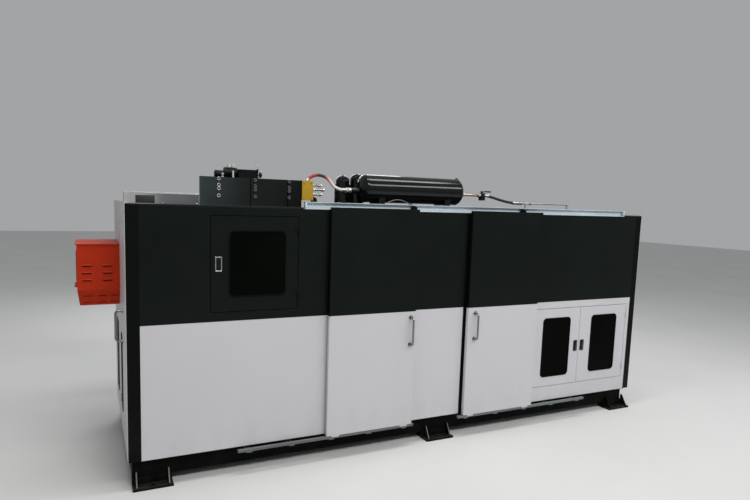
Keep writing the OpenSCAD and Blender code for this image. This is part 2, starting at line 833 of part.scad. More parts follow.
module foot_brackets() color([0.10, 0.11, 0.11]) from_corner()
    for (x = foot_xs) {
        translate([x, 0, 0]) foot_bracket();
        on_rear() translate([x, 0, 0]) foot_bracket();
    }

// Frame

module front_frame() color([0.11, 0.12, 0.12]) from_corner() {
    z = [panel_bottom, panel_top];
    y = [fold_d, fold_d + tube_w];
    top = [panel_top - tube_w, panel_top];
    middle = [split_z - tube_w / 2, split_z + tube_w / 2];
    left_end = sheet_t + left_post_w + seat_gap;
    block([sheet_t, sheet_t + left_post_w], [0, post_d], z);
    block([right_post_x, right_post_x + right_post_w], [0, post_d], z);
    block([dark_post_x, dark_post_x + tube_w], [0, y[1]], z);
    for (x = posts) if (x != dark_post_x) block([x, x + tube_w], y, [z[0], top[0] - seat_gap]);
    block([left_end, dark_post_x - seat_gap], y, top);
    block([dark_post_x + tube_w + seat_gap, right_post_x - seat_gap], y, top);
    block([left_end, posts[0] - seat_gap], y, middle);
    block([posts[1] + tube_w + seat_gap, posts[2] - seat_gap], y, middle);
    block([posts[3] + tube_w + seat_gap, right_post_x - seat_gap], y, middle);
}

module rear_frame() color([0.11, 0.12, 0.12]) from_corner() on_rear() {
    xs = concat([sheet_t], posts, [right_post_x]);
    y = [fold_d, fold_d + tube_w];
    for (x = xs) block([x, x + tube_w], y, [panel_bottom, panel_top - tube_w - seat_gap]);
    block([sheet_t, right_post_x + tube_w], y, [panel_top - tube_w, panel_top]);
    for (i = [0:len(xs) - 2]) block([xs[i] + tube_w + seat_gap, xs[i + 1] - seat_gap], y,
                                    [split_z - tube_w / 2, split_z + tube_w / 2]);
}

module cross_members() color([0.11, 0.12, 0.12]) from_corner()
    for (x = concat([sheet_t], posts, [right_post_x]))
        block([x, x + tube_w], [post_d, body_d - fold_d - tube_w], [panel_top - tube_w, panel_top]);

module roof_sheet(x, y) difference() {
    block(x, y, [panel_top, roof_top]);
    block([x[0] + sheet_t, x[1] - sheet_t], [y[0] + sheet_t, y[1] - sheet_t],
          [panel_top - eps, roof_top - sheet_t]);
}

module roof_panels() color([0.72, 0.73, 0.74]) from_corner() {
    y = [rail_d + 2, body_d];
    hole_x = [clamp_x - seat_gap, clamp_x + clamp_w + seat_gap];
    roof_sheet([sheet_t, hole_x[0]], y);
    roof_sheet([hole_x[1], body_l - sheet_t], y);
    roof_sheet([rail_end_x + 2, body_l - sheet_t], [0, y[0] + 2 * sheet_t]);
    roof_sheet([hole_x[0] + seat_gap, hole_x[1] - seat_gap], [y[0], clamp_y - seat_gap]);
    roof_sheet([hole_x[0] + seat_gap, hole_x[1] - seat_gap], [clamp_y + clamp_d + seat_gap, y[1]]);
}

module end_sheet() block([0, body_d], [0, sheet_t], [panel_bottom, panel_top + wall_over]);

module left_end_wall() color([0.86, 0.86, 0.87]) from_corner() on_left_end() {
    hinge_x = edoor_y + edoor_w + door_gap / 2;
    difference() {
        end_sheet();
        block([edoor_y - door_gap, edoor_y + edoor_w + door_gap], [-eps, sheet_t + eps],
              [edoor_z - door_gap, edoor_z + edoor_h + door_gap]);
        rounded_plate(efixed_y, ewindow_z, efixed_w, ewindow_h, window_r, -eps, sheet_t + eps);
    }
    for (z = hinge_zs(edoor_z, edoor_h)) hinge_fixed(hinge_x, z, 1);
}

module end_wall_pane() color([0.05, 0.06, 0.06]) from_corner() on_left_end()
    rounded_plate(efixed_y - pane_lap, ewindow_z - pane_lap, efixed_w + 2 * pane_lap,
                  ewindow_h + 2 * pane_lap, window_r + pane_lap, sheet_t, sheet_t + pane_t);

module right_end_wall() color([0.86, 0.86, 0.87]) from_corner() on_right_end() end_sheet();

module rear_panels() color([0.86, 0.86, 0.87]) from_corner() on_rear() {
    edges = concat([sheet_t], [for (x = posts) x + tube_w / 2], [body_l - sheet_t]);
    for (i = [0:len(edges) - 2]) {
        x = [edges[i] + (i > 0 ? 1 : 0), edges[i + 1] - (i < len(edges) - 2 ? 1 : 0)];
        tray(x, [panel_bottom, split_z - seat_gap]);
        tray(x, [split_z + seat_gap, panel_top]);
    }
}

// Front panels

upper_z = [split_z + seat_gap, panel_top];
lower_z = [panel_bottom, split_z - seat_gap];
left_run = [sheet_t + left_post_w, bay_1[0] - 2];
middle_run = [bay_1[1] + 2, dark_post_x];
right_run = [bay_2[1] + 2, right_post_x];

module front_upper_left() color([0.11, 0.12, 0.12]) from_corner() {
    tray(left_run, upper_z, [[wdoor_x - door_gap, wdoor_x + wdoor_w + door_gap,
                              wdoor_z - door_gap, wdoor_z + wdoor_h + door_gap]]);
    for (z = hinge_zs(wdoor_z, wdoor_h)) hinge_fixed(wdoor_x + wdoor_w + door_gap / 2, z, 1);
}

module front_upper_middle() color([0.11, 0.12, 0.12]) from_corner() tray(middle_run, upper_z);

module front_upper_right() color([0.11, 0.12, 0.12]) from_corner() tray(right_run, upper_z);

module front_lower_plain() color([0.80, 0.80, 0.82]) from_corner()
    for (run = [left_run, middle_run]) tray(run, lower_z);

module front_lower_right() color([0.80, 0.80, 0.82]) from_corner() {
    tray(right_run, lower_z, [[sdoor_x - door_gap, sdoor_end_x + door_gap,
                               sdoor_z - door_gap, sdoor_z + sdoor_h + door_gap]]);
    for (z = hinge_zs(sdoor_z, sdoor_h)) {
        hinge_fixed(sdoor_x - door_gap / 2, z, -1);
        hinge_fixed(sdoor_end_x + door_gap / 2, z, 1);
    }
}

// Rails

module top_rail() color([0.62, 0.66, 0.68]) from_corner() difference() {
    block([rail_x, rail_end_x], [0, rail_d], [panel_top, panel_top + rail_h]);
    block([rail_x - eps, rail_end_x + eps], [-eps, rail_d - rail_t],
          [panel_top + rail_t, panel_top + rail_h - rail_t]);
}

module bottom_rail(x) {
    low = low_rail_top - low_rail_h;
    block(x, [low_rail_y, low_rail_y + low_rail_w], [low, low_rail_top]);
    for (i = [0:4]) let(ax = x[0] + 60 + i * (x[1] - x[0] - 160) / 4)
        block([ax, ax + 40], [low_rail_y, beam_setback], [low - rail_arm_t, low]);
}

module bottom_rails() color([0.62, 0.66, 0.68]) from_corner() {
    bottom_rail([door_1_x - door_1_travel - 2, door_1_x + door_w + 20]);
    bottom_rail([door_2_x - 50, door_2_x + door_w + door_2_travel + 8]);
}

module cover_channel() color([0.66, 0.67, 0.70]) from_corner() {
    y = [cover_y, cover_y + cover_d];
    z = [roof_top, roof_top + cover_h];
    difference() {
        block([sheet_t, cover_l], y, z);
        block([sheet_t + cover_t, cover_l - cover_t], [y[0] + cover_t, y[1] + eps],
              [z[0] + cover_t, z[1] - cover_t]);
        block([cover_hole_x, cover_hole_x + cover_hole_w], [y[0] - eps, y[0] + cover_t + eps],
              [z[0] + cover_t, z[1] - 20]);
    }
}

// Hinged doors

module window_door() color([0.11, 0.12, 0.12]) from_corner() {
    x = [wdoor_x, wdoor_x + wdoor_w];
    z = [wdoor_z, wdoor_z + wdoor_h];
    difference() {
        tray(x, z, [], hinged_d);
        rounded_plate(x[0] + window_inset, z[0] + window_low, window_w, window_h, window_r, -eps, fold_d);
        latch_hole(x[0] + wlatch_inset, z[0] + wlatch_low);
    }
    for (hz = hinge_zs(wdoor_z, wdoor_h)) hinge_moving(x[1] + door_gap / 2, hz, -1);
}

// Pane behind a window whose lower left corner is at x, z
module pane(x, z, w, h)
    rounded_plate(x - pane_lap, z - pane_lap, w + 2 * pane_lap, h + 2 * pane_lap, window_r + pane_lap,
                  sheet_t, sheet_t + pane_t);

module window_pane() color([0.05, 0.06, 0.06]) from_corner()
    pane(wdoor_x + window_inset, wdoor_z + window_low, window_w, window_h);

module window_lock() color([0.80, 0.81, 0.82]) from_corner()
    latch_cup_body(wdoor_x + wlatch_inset, wdoor_z + wlatch_low);

module window_paddle() color([0.10, 0.10, 0.11]) from_corner()
    latch_paddle(wdoor_x + wlatch_inset, wdoor_z + wlatch_low);

// Service door from x[0] to x[1], hinged at the side that dir points to
module service_door(x, window_x, latch_x, hinge_x, dir) {
    difference() {
        tray(x, [sdoor_z, sdoor_z + sdoor_h], [], hinged_d);
        rounded_plate(window_x, sdoor_z + swindow_low, swindow_w, swindow_h, window_r, -eps, fold_d);
        latch_hole(latch_x, sdoor_z + slatch_low);
    }
    latch_cup_body(latch_x, sdoor_z + slatch_low);
    for (z = hinge_zs(sdoor_z, sdoor_h)) hinge_moving(hinge_x, z, dir);
}

left_latch_x = sdoor_mid_x - slatch_inset - latch_w;
right_latch_x = sdoor_mid_x + slatch_inset;

module service_door_left() color([0.80, 0.80, 0.82]) from_corner()
    service_door([sdoor_x, sdoor_mid_x - door_gap / 2], sdoor_x + swindow_1_inset, left_latch_x,
                 sdoor_x - door_gap / 2, 1);

module service_door_right() color([0.80, 0.80, 0.82]) from_corner()
    service_door([sdoor_mid_x + door_gap / 2, sdoor_end_x], sdoor_mid_x + swindow_2_inset, right_latch_x,
                 sdoor_end_x + door_gap / 2, -1);

module service_pane_left() color([0.05, 0.06, 0.06]) from_corner()
    pane(sdoor_x + swindow_1_inset, sdoor_z + swindow_low, swindow_w, swindow_h);

module service_pane_right() color([0.05, 0.06, 0.06]) from_corner()
    pane(sdoor_mid_x + swindow_2_inset, sdoor_z + swindow_low, swindow_w, swindow_h);

module service_paddle_left() color([0.10, 0.10, 0.11]) from_corner()
    latch_paddle(left_latch_x, sdoor_z + slatch_low);

module service_paddle_right() color([0.10, 0.10, 0.11]) from_corner()
    latch_paddle(right_latch_x, sdoor_z + slatch_low);

module end_door() color([0.86, 0.86, 0.87]) from_corner() on_left_end() {
    difference() {
        tray([edoor_y, edoor_y + edoor_w], [edoor_z, edoor_z + edoor_h], [], hinged_d);
        rounded_plate(edoor_y + ewindow_inset, ewindow_z, ewindow_w, ewindow_h, window_r, -eps, fold_d);
    }
    for (z = hinge_zs(edoor_z, edoor_h)) hinge_moving(edoor_y + edoor_w + door_gap / 2, z, -1);
}

module end_door_pane() color([0.05, 0.06, 0.06]) from_corner() on_left_end()
    pane(edoor_y + ewindow_inset, ewindow_z, ewindow_w, ewindow_h);

module end_handle() color([0.55, 0.56, 0.57]) from_corner() on_left_end()
    d_handle(edoor_y + end_handle_inset, end_handle_z);

// Sliding doors

module sliding_upper(x, roller_inset) {
    roller_x = x + door_w - roller_inset;
    roller_z = panel_top + rail_t + roller_d / 2 + seat_gap;
    translate([0, door_front, 0]) tray([x, x + door_w], [split_z + seat_gap, door_top], [], door_t);
    block([roller_x - 20, roller_x + 20], [door_front + 1, bracket_y], [panel_top - 40, panel_top]);
    block([roller_x - 20, roller_x + 20], [bracket_y - 5, bracket_y], [panel_top - 1, roller_z + 12]);
    rod_y(roller_x, roller_z, axle_d, bracket_y - 1, roller_y + roller_w + 2);
}

module sliding_lower(x) {
    shoe_z = [low_rail_top - 8, door_bottom + 14];
    translate([0, door_front, 0]) tray([x, x + door_w], [door_bottom, split_z - seat_gap], [], door_t);
    for (sx = [x + 40, x + door_w - 40 - shoe_l]) difference() {
        block([sx, sx + shoe_l], [door_front + 1, -door_standoff - 1], shoe_z);
        block([sx - eps, sx + shoe_l + eps], [low_rail_y - seat_gap, low_rail_y + low_rail_w + seat_gap],
              [shoe_z[0] - eps, low_rail_top + seat_gap]);
    }
}

module top_roller(x, roller_inset) {
    roller_x = x + door_w - roller_inset;
    roller_z = panel_top + rail_t + roller_d / 2 + seat_gap;
    difference() {
        rod_y(roller_x, roller_z, roller_d, roller_y, roller_y + roller_w);
        rod_y(roller_x, roller_z, axle_d + 2 * run_fit, roller_y - eps, roller_y + roller_w + eps);
        translate([roller_x, roller_y + roller_w / 2, roller_z]) rotate([90, 0, 0]) rotate_extrude()
            translate([roller_d / 2 + 1.5, 0]) circle(d = 7);
    }
}

module door_1_upper() color([0.11, 0.12, 0.12]) from_corner() sliding_upper(door_1_x, roller_1_inset);

module door_1_lower() color([0.80, 0.80, 0.82]) from_corner() sliding_lower(door_1_x);

module door_1_handle() color([0.55, 0.56, 0.57]) from_corner()
    translate([0, door_front, 0]) d_handle(door_1_x + door_w - handle_1_inset, handle_z);

module door_1_roller() color([0.15, 0.15, 0.16]) from_corner() top_roller(door_1_x, roller_1_inset);

module door_2_upper() color([0.11, 0.12, 0.12]) from_corner() sliding_upper(door_2_x, roller_2_inset);

module door_2_lower() color([0.80, 0.80, 0.82]) from_corner() sliding_lower(door_2_x);

module door_2_handle() color([0.55, 0.56, 0.57]) from_corner()
    translate([0, door_front, 0]) d_handle(door_2_x + handle_2_inset, handle_z);

module door_2_roller() color([0.15, 0.15, 0.16]) from_corner() top_roller(door_2_x, roller_2_inset);

// Console on the left end wall

screen_y = [console_y + (console_w - screen_w) / 2, console_y + (console_w + screen_w) / 2];
screen_z = [console_z + screen_low, console_z + screen_low + screen_h];
stop_y = console_y + console_w - stop_inset;
stop_z = console_z + stop_low;

// Outline of the console seen from its side, with Y across and Z up
module console_side(inset) {
    low = console_z + inset;
    polygon([[console_y + console_slope_in + inset, low], [console_y + console_w - inset, low],
             [console_y + console_w - inset, console_z + console_h - inset],
             [console_y + inset, console_z + console_h - inset],
             [console_y + inset, console_z + console_slope_h]]);
}

// Outline of the console seen from the front, with X across and Z up
module console_front(inset) {
    low = console_z + inset;
    high = console_z + console_h - inset;
    polygon([[console_taper - console_out + inset, low], [-inset, low], [-inset, high],
             [inset - console_out, high], [inset - console_out, console_z + console_slope_h]]);
}

module console_body(inset) intersection() {
    translate([-console_out, 0, 0]) rotate([90, 0, 90])
        linear_extrude(console_out) console_side(inset);
    translate([0, console_y + console_w, 0]) rotate([90, 0, 0])
        linear_extrude(console_w) console_front(inset);
}

module console_louvres(x, z, count) for (i = [0:count - 1])
    block([x, x + louvre_w], [console_y - eps, console_y + console_slope_in + 8],
          [z + i * louvre_pitch, z + i * louvre_pitch + louvre_h]);

module console_box() color([0.66, 0.16, 0.08]) from_corner() {
    difference() {
        console_body(0);
        console_body(sheet_t);
        for (out = louvre_upper) console_louvres(-out, console_z + louvre_high, 3);
        for (out = louvre_lower) console_louvres(-out, console_z + louvre_low, 2);
        block([-console_out - eps, -console_out + sheet_t + eps], screen_y, screen_z);
        rod_x(-console_out - eps, console_taper + sheet_t + 2 - console_out, stop_y, stop_z,
              stop_stem + 2 * run_fit);
    }
    block([-console_out - lid_over, 0], [console_y - lid_over, console_y + console_w + lid_over],
          [console_z + console_h, console_z + console_h + lid_t]);
}

module touch_screen() color([0.06, 0.06, 0.07]) from_corner() {
    block([-console_out - bezel_t, -console_out], [screen_y[0] - bezel_w, screen_y[1] + bezel_w],
          [screen_z[0] - bezel_w, screen_z[1] + bezel_w]);
    block([-console_out, screen_d - console_out], screen_y, screen_z);
}

module emergency_stop() color([0.75, 0.05, 0.04]) from_corner() {
    head_x = -console_out - stop_travel - 4;
    rod_x(head_x - stop_head, head_x, stop_y, stop_z, 2 * stop_r);
    rod_x(head_x, console_taper + 10 - console_out, stop_y, stop_z, stop_stem);
}

// Clamp frame and what it carries

module clamp_frame() color([0.12, 0.13, 0.14]) from_corner() {
    x = [clamp_x, clamp_x + clamp_w];
    y = [clamp_y, clamp_y + clamp_d];
    deck = [roof_top - deck_t, roof_top];
    difference() {
        union() {
            for (cx = [x[0], x[1] - column_w], cy = [y[0], y[1] - column_w])
                block([cx, cx + column_w], [cy, cy + column_w], [panel_bottom, deck[1]]);
            block(x, y, deck);
            block(x, [y[0], y[0] + head_t], [tower_top - head_h, tower_top]);
            for (fy = [y[0], y[1] - column_w]) block(x, [fy, fy + column_w], [fixed_z, fixed_z + fixed_h]);
            block([clamp_mid_x - 100, clamp_mid_x + 100], y, [fixed_z, fixed_z + tie_t]);
            drive_stand();
        }
        for (joint = cheek_joints)
            block([x[0] + joint, x[0] + joint + cheek_gap], [y[0] - eps, y[0] + cheek_groove],
                  [tower_top - head_h - eps, tower_top + eps]);
        rod_y(clamp_mid_x, press_z, rod_d + 2 * run_fit, y[0] - eps, y[0] + column_w + eps);
        rod_y(clamp_mid_x, press_z, rod_d + 2 * run_fit, y[1] - column_w - eps, y[1] + eps);
        translate([clamp_mid_x, clamp_mid_y, fixed_z - eps])
            cylinder(d = rod_d + 2 * run_fit, h = tie_t + 2 * eps);
        rack_slot([deck[0] - eps, tower_top + eps]);
    }
    for (gx = [x[0] + column_w, x[1] - column_w - gusset_t])
        translate([gx, 0, 0]) rotate([90, 0, 90]) linear_extrude(gusset_t)
            polygon([[y[0] + head_t - 1, deck[1] - 1], [y[0] + head_t + gusset_d, deck[1] - 1],
                     [y[0] + head_t + gusset_t, tower_top - gusset_t],
                     [y[0] + head_t - 1, tower_top - gusset_t]]);
    for (bx = bar_xs, bz = bar_zs) rod_y(bx, bz, bar_d, y[0] + column_w - 1, y[1] - column_w + 1);
    for (gx = guide_xs) translate([gx, clamp_mid_y, blow_z - 10])
        cylinder(r = guide_r, h = deck[0] - blow_z + 11);
    clamp_cylinder();
    mirror_clamp() clamp_cylinder();
}

// Slot that the rack slides through
module rack_slot(z) block([rack_x - rack_w / 2 - 1, rack_x + rack_w / 2 + 1],
                          [clamp_mid_y - rack_w / 2 - 1, clamp_mid_y + rack_w / 2 + 1], z);

// Hollow box on the deck that carries the rack drive
module drive_stand() {
    x = [clamp_mid_x - gear_left - motor_l, clamp_mid_x - gear_left + gear_w];
    y = [clamp_mid_y - gear_w / 2, clamp_mid_y + gear_w / 2];
    difference() {
        block(x, y, [roof_top - 1, tower_top]);
        block([x[0] + stand_t, x[1] - stand_t], [y[0] + stand_t, y[1] - stand_t],
              [roof_top, tower_top - 2 * stand_t]);
    }
}

// Cylinder in front of the fixed plate, open at the plate where the rod comes through
module clamp_cylinder() difference() {
    rod_y(clamp_mid_x, press_z, cyl_d, clamp_y - cyl_l, clamp_y);
    rod_y(clamp_mid_x, press_z, cyl_bore, clamp_y - cyl_l + 12, clamp_y + eps);
}

module platen() difference() {
    union() {
        block([clamp_mid_x - platen_w / 2, clamp_mid_x + platen_w / 2], [platen_y, platen_y + platen_t],
              [platen_z, platen_z + platen_h]);
        rod_y(clamp_mid_x, press_z, rod_d, clamp_y - 20, platen_y + 1);
        rod_y(clamp_mid_x, press_z, cyl_bore - 2 * run_fit, clamp_y - 4 - piston_t, clamp_y - 4);
    }
    for (bx = bar_xs, bz = bar_zs)
        rod_y(bx, bz, bar_d + 2 * run_fit, platen_y - eps, platen_y + platen_t + eps);
}

module platen_front() color([0.45, 0.46, 0.48]) from_corner() platen();

module platen_rear() color([0.45, 0.46, 0.48]) from_corner() mirror_clamp() platen();

// Hollow of one bottle, its foot on the mould's lower face, turned about the parting line
module bottle_hollow() {
    shoulder = [for (a = [0:15:90])
        [neck_r + (bottle_r - neck_r) * cos(a), bottle_body_h + shoulder_h * sin(a)]];
    rotate_extrude() polygon(concat(
        [[0, -eps], [bottle_r, -eps]], shoulder, [[neck_r, mould_h + eps], [0, mould_h + eps]]));
}

module mould_half() difference() {
    block([clamp_mid_x - mould_w / 2, clamp_mid_x + mould_w / 2],
          [clamp_mid_y - mould_t, clamp_mid_y - seat_gap / 2], [mould_z, mould_top]);
    for (x = cavity_xs) translate([x, clamp_mid_y, mould_z]) bottle_hollow();
}

module mould_front() color([0.74, 0.75, 0.77]) from_corner() mould_half();

module mould_rear() color([0.74, 0.75, 0.77]) from_corner() mirror_clamp() mould_half();

// Plate under the moulds with a domed plug for each cavity, on a rod through the tie plate
module base_mould() color([0.70, 0.71, 0.73]) from_corner() {
    top = mould_z - seat_gap;
    rod_low = fixed_z - base_travel;
    block([clamp_mid_x - mould_w / 2, clamp_mid_x + mould_w / 2], [clamp_mid_y - 60, clamp_mid_y + 60],
          [top - base_plate_h, top]);
    for (x = cavity_xs) translate([x, clamp_mid_y, top]) rotate_extrude()
        polygon([[0, -1], [bottle_r - 1, -1], [bottle_r - 1, 2], [bottle_r - 8, 3 + base_dome / 2],
                 [0, 3 + base_dome]]);
    translate([clamp_mid_x, clamp_mid_y, rod_low]) cylinder(d = rod_d, h = top - base_plate_h - rod_low + 1);
}

// Bar along the clamp, with a bore for each guide
module guided_bar(z, h) difference() {
    block([clamp_mid_x - beam_l / 2, clamp_mid_x + beam_l / 2], [clamp_mid_y - 40, clamp_mid_y + 40],
          [z, z + h]);
    for (x = guide_xs) translate([x, clamp_mid_y, z - eps]) cylinder(r = guide_r + run_fit, h = h + 2 * eps);
}

module blow_head() color([0.60, 0.61, 0.63]) from_corner() difference() {
    union() {
        guided_bar(blow_z, blow_h);
        for (x = cavity_xs) translate([x, clamp_mid_y, nozzle_low])
            cylinder(r = nozzle_r, h = blow_z - nozzle_low + 1);
    }
    for (x = cavity_xs) translate([x, clamp_mid_y, nozzle_low - eps])
        cylinder(r = stretch_rod_r + run_fit, h = blow_z + blow_h - nozzle_low + 2 * eps);
}

// The rods sit in bores of the bar and the rack on top of it, each a solid of its own
module stretch_beam() color([0.60, 0.61, 0.63]) from_corner() {
    difference() {
        guided_bar(stretch_z, stretch_h);
        for (x = cavity_xs) translate([x, clamp_mid_y, stretch_z - eps])
            cylinder(r = stretch_rod_r + run_fit, h = stretch_h / 2 + eps);
    }
    for (x = cavity_xs) translate([x, clamp_mid_y, blow_z])
        cylinder(r = stretch_rod_r, h = stretch_z - blow_z + stretch_h / 2 - seat_gap);
    block([rack_x - rack_w / 2, rack_x + rack_w / 2], [clamp_mid_y - rack_w / 2, clamp_mid_y + rack_w / 2],
          [stretch_z + stretch_h + seat_gap, tower_top + 40]);
}

// Servo motor and gear housing on top of the clamp frame
module stretch_drive() color([0.10, 0.12, 0.11]) from_corner() {
    left = clamp_mid_x - gear_left;
    motor_z = tower_top + gear_h - motor_d / 2 + 14;
    difference() {
        block([left, left + gear_w], [clamp_mid_y - gear_w / 2, clamp_mid_y + gear_w / 2],
              [tower_top, tower_top + gear_h]);
        rack_slot([tower_top - eps, tower_top + gear_h - 10]);
    }
    rod_x(left - motor_l, left + 1, clamp_mid_y, motor_z, motor_d);
    rod_x(left - motor_l - brake_l, left - motor_l + 1, clamp_mid_y,
          motor_z - (motor_d - brake_d) / 2, brake_d);
    for (share = [1 / 3, 2 / 3])
        translate([left - share * motor_l, clamp_mid_y - 20, motor_z + motor_d / 4])
        cylinder(d = plug_d, h = motor_d / 4 + plug_h);
}

module manifold_block() color([0.66, 0.54, 0.17]) from_corner() {
    x = [manifold_face - manifold_w, manifold_face];
    y = [clamp_y - 10, clamp_y - 10 + manifold_d];
    difference() {
        block(x, y, [manifold_z, manifold_top]);
        translate([hose_x, hose_y, manifold_top - 12]) cylinder(d = 16, h = 12 + eps);
    }
}

// Heights and lengths of the three fittings on the manifold's right face
manifold_ports = [[2019, 20], [1988, 42], [1952, 22]];

module air_fittings() color([0.72, 0.73, 0.74]) from_corner() {
    for (port = manifold_ports)
        stepped(manifold_face, clamp_y + 35, port[0], [[port[1], 24], [40, 15], [24, 22]]);
    hull() {
        translate([hose_x, hose_y, manifold_top]) cylinder(d = hose_d + 4, h = 4);
        translate(hose_start) rotate([0, 45, 0]) translate([0, 0, -hose_lead - seat_gap - 4])
            cylinder(d = hose_d + 4, h = 4);
    }
    stepped(hose_end[0], tank_y, port_z, [[coupling_l, 36]]);
    stepped(tank_end_x, tank_y, port_z, [[30, 30], [valve_x - valve_half - tank_end_x - 28, 20]]);
    stepped(valve_x - valve_half, tank_y, port_z, [[2 * valve_half, 34]]);
    translate([valve_x, tank_y, port_z - 42]) cylinder(d = 52, h = 62);
    stepped(tube_x, tank_y, tube_z, [[78, 28], [78, 16], [20, 24], [tube_l, 14]]);
    for (x = [tube_x + 116, tube_x + 160 + tube_l]) translate([x, tank_y, roof_top])
        cylinder(d = 18, h = tube_z - roof_top);
}

// Air tank with dished ends and two welded saddles
module air_tank() color([0.03, 0.03, 0.04]) from_corner() {
    profile = concat([[0, 0]], [for (a = [0:15:90]) [tank_r * sin(a), dish_l * (1 - cos(a))]],
        [for (a = [90:-15:0]) [tank_r * sin(a), tank_l - dish_l * (1 - cos(a))]]);
    translate([tank_x, tank_y, tank_z]) rotate([0, 90, 0]) rotate_extrude($fn = 64) polygon(profile);
    rod_x(tank_x - boss_l, tank_x + 8, tank_y, port_z, port_d);
    rod_x(tank_x + tank_l - 8, tank_end_x, tank_y, port_z, port_d);
    for (x = [tank_x + saddle_inset, tank_x + tank_l - saddle_inset - saddle_w])
        block([x, x + saddle_w], [tank_y - saddle_d / 2, tank_y + saddle_d / 2],
              [roof_top, tank_z - tank_r + 40]);
}

// Two upright filters behind the tank's left end, joined by a pipe
module air_filters() color([0.03, 0.03, 0.04]) from_corner() {
    x = tank_x - filter_back;
    for (f = [[x, filter_1_h], [x + filter_pitch, filter_2_h]]) translate([f[0], filter_y, roof_top])
        rotate_extrude() polygon(concat([[0, 0], [filter_r - 6, 0], [filter_r - 6, 30], [filter_r, 30]],
            [for (a = [0:15:90]) [filter_r * cos(a), f[1] - 0.8 * filter_r * (1 - sin(a))]]));
    rod_x(x, x + filter_pitch, filter_y, roof_top + 120, 34);
}

module arch_hose() color([0.25, 0.05, 0.05]) from_corner() swept(hose_route, hose_d);

module outlet_hose() color([0.06, 0.06, 0.07]) from_corner() swept(outlet_route, outlet_d);

// Oven and preform chain

module oven_bank() color([0.58, 0.60, 0.62]) from_corner() {
    lane = chain_mid_y - chain_r;
    x = [oven_x, oven_x + oven_modules * module_l];
    table = [chain_z - oven_rise - table_t, chain_z - oven_rise];
    for (lx = [x[0], x[1] - leg_w], ly = [lane - table_half, lane + table_half - leg_w])
        block([lx, lx + leg_w], [ly, ly + leg_w], [panel_bottom, table[0] + 1]);
    block(x, [lane - table_half, lane + table_half], table);
    for (i = [0:oven_modules - 1]) {
        mx = [x[0] + i * module_l + module_gap / 2, x[0] + (i + 1) * module_l - module_gap / 2];
        box = [lane + lamp_out, lane + lamp_out + lamp_box_d];
        difference() {
            block(mx, box, [table[1] - 1, table[1] + lamp_box_h]);
            block([mx[0] + 3, mx[1] - 3], [box[0] - eps, box[1] - lamp_box_d / 2],
                  [table[1] + 12, table[1] + lamp_box_h - 10]);
        }
        block(mx, [lane - lamp_out - reflector_t, lane - lamp_out],
              [table[1] - 1, table[1] + lamp_box_h - 20]);
        for (k = [0:lamps - 1])
            rod_x(mx[0] + 2, mx[1] - 2, box[0] + 16, table[1] + lamp_low + k * lamp_pitch, 2 * lamp_r);
    }
}

// Place and heading on the chain's loop at a distance s from its start
function loop_place(s) =
    s < chain_l ? [chain_x + s, chain_mid_y - chain_r, 0] :
    s < chain_l + PI * chain_r ? let(a = (s - chain_l) / chain_r * 180 / PI)
        [chain_x + chain_l + chain_r * sin(a), chain_mid_y - chain_r * cos(a), a] :
    s < 2 * chain_l + PI * chain_r ? let(t = s - chain_l - PI * chain_r)
        [chain_x + chain_l - t, chain_mid_y + chain_r, 180] :
    let(a = (s - 2 * chain_l - PI * chain_r) / chain_r * 180 / PI)
        [chain_x - chain_r * sin(a), chain_mid_y + chain_r * cos(a), 180 + a];

// Flat shape round the loop, off from its centre line
module loop_shape(off) {
    translate([chain_x, chain_mid_y - chain_r - off]) square([chain_l, 2 * (chain_r + off)]);
    for (x = [chain_x, chain_x + chain_l]) translate([x, chain_mid_y]) circle(r = chain_r + off, $fn = 96);
}

module preform_chain() color([0.50, 0.51, 0.53]) from_corner() {
    translate([0, 0, chain_z]) linear_extrude(track_t) difference() {
        loop_shape(track_w / 2);
        loop_shape(-track_w / 2);
    }
    for (i = [0:carrier_n - 1]) let(p = loop_place(i * chain_loop / carrier_n))
        translate([p[0], p[1], chain_z]) rotate(p[2]) {
            translate([-carrier_l / 2, -carrier_w / 2, track_t - 1]) cube([carrier_l, carrier_w, carrier_h]);
            translate([0, 0, -spindle_l]) cylinder(r = 11, h = spindle_l + 1);
            translate([0, 0, track_t + carrier_h - 2]) cylinder(r = 9, h = 12);
        }
    for (x = [chain_x, chain_x + chain_l / 2, chain_x + chain_l]) {
        block([x - 30, x + 30], [chain_mid_y - chain_r - 10, chain_mid_y + chain_r + 10],
              [chain_z - 29, chain_z + 1]);
        block([x - 25, x + 25], [chain_mid_y - 25, chain_mid_y + 25], [panel_bottom, chain_z - 28]);
    }
}

// Mounting plate behind the service doors, with rows of switchgear that seat on its rails
module control_plate() color([0.70, 0.71, 0.72]) from_corner() {
    x = [posts[3] + 120, right_post_x - 60];
    block(x, [plate_y, plate_y + plate_t], [panel_bottom, split_z - 40]);
    devices = floor((x[1] - x[0] - 100) / device_pitch);
    for (row = [0:rows - 1]) let(z = panel_bottom + row_low + row * row_pitch) {
        block([x[0] + 40, x[1] - 40], [plate_y - din_d, plate_y - seat_gap], [z, z + din_h]);
        for (i = [0:devices - 1]) let(left = x[0] + 60 + i * device_pitch, share = i % 3 == 0 ? 0.83 : 0.57)
            block([left, left + share * device_pitch],
                  [plate_y - din_d - device_d, plate_y - din_d - seat_gap],
                  [z + (din_h - device_h) / 2, z + (din_h + device_h) / 2]);
    }
}

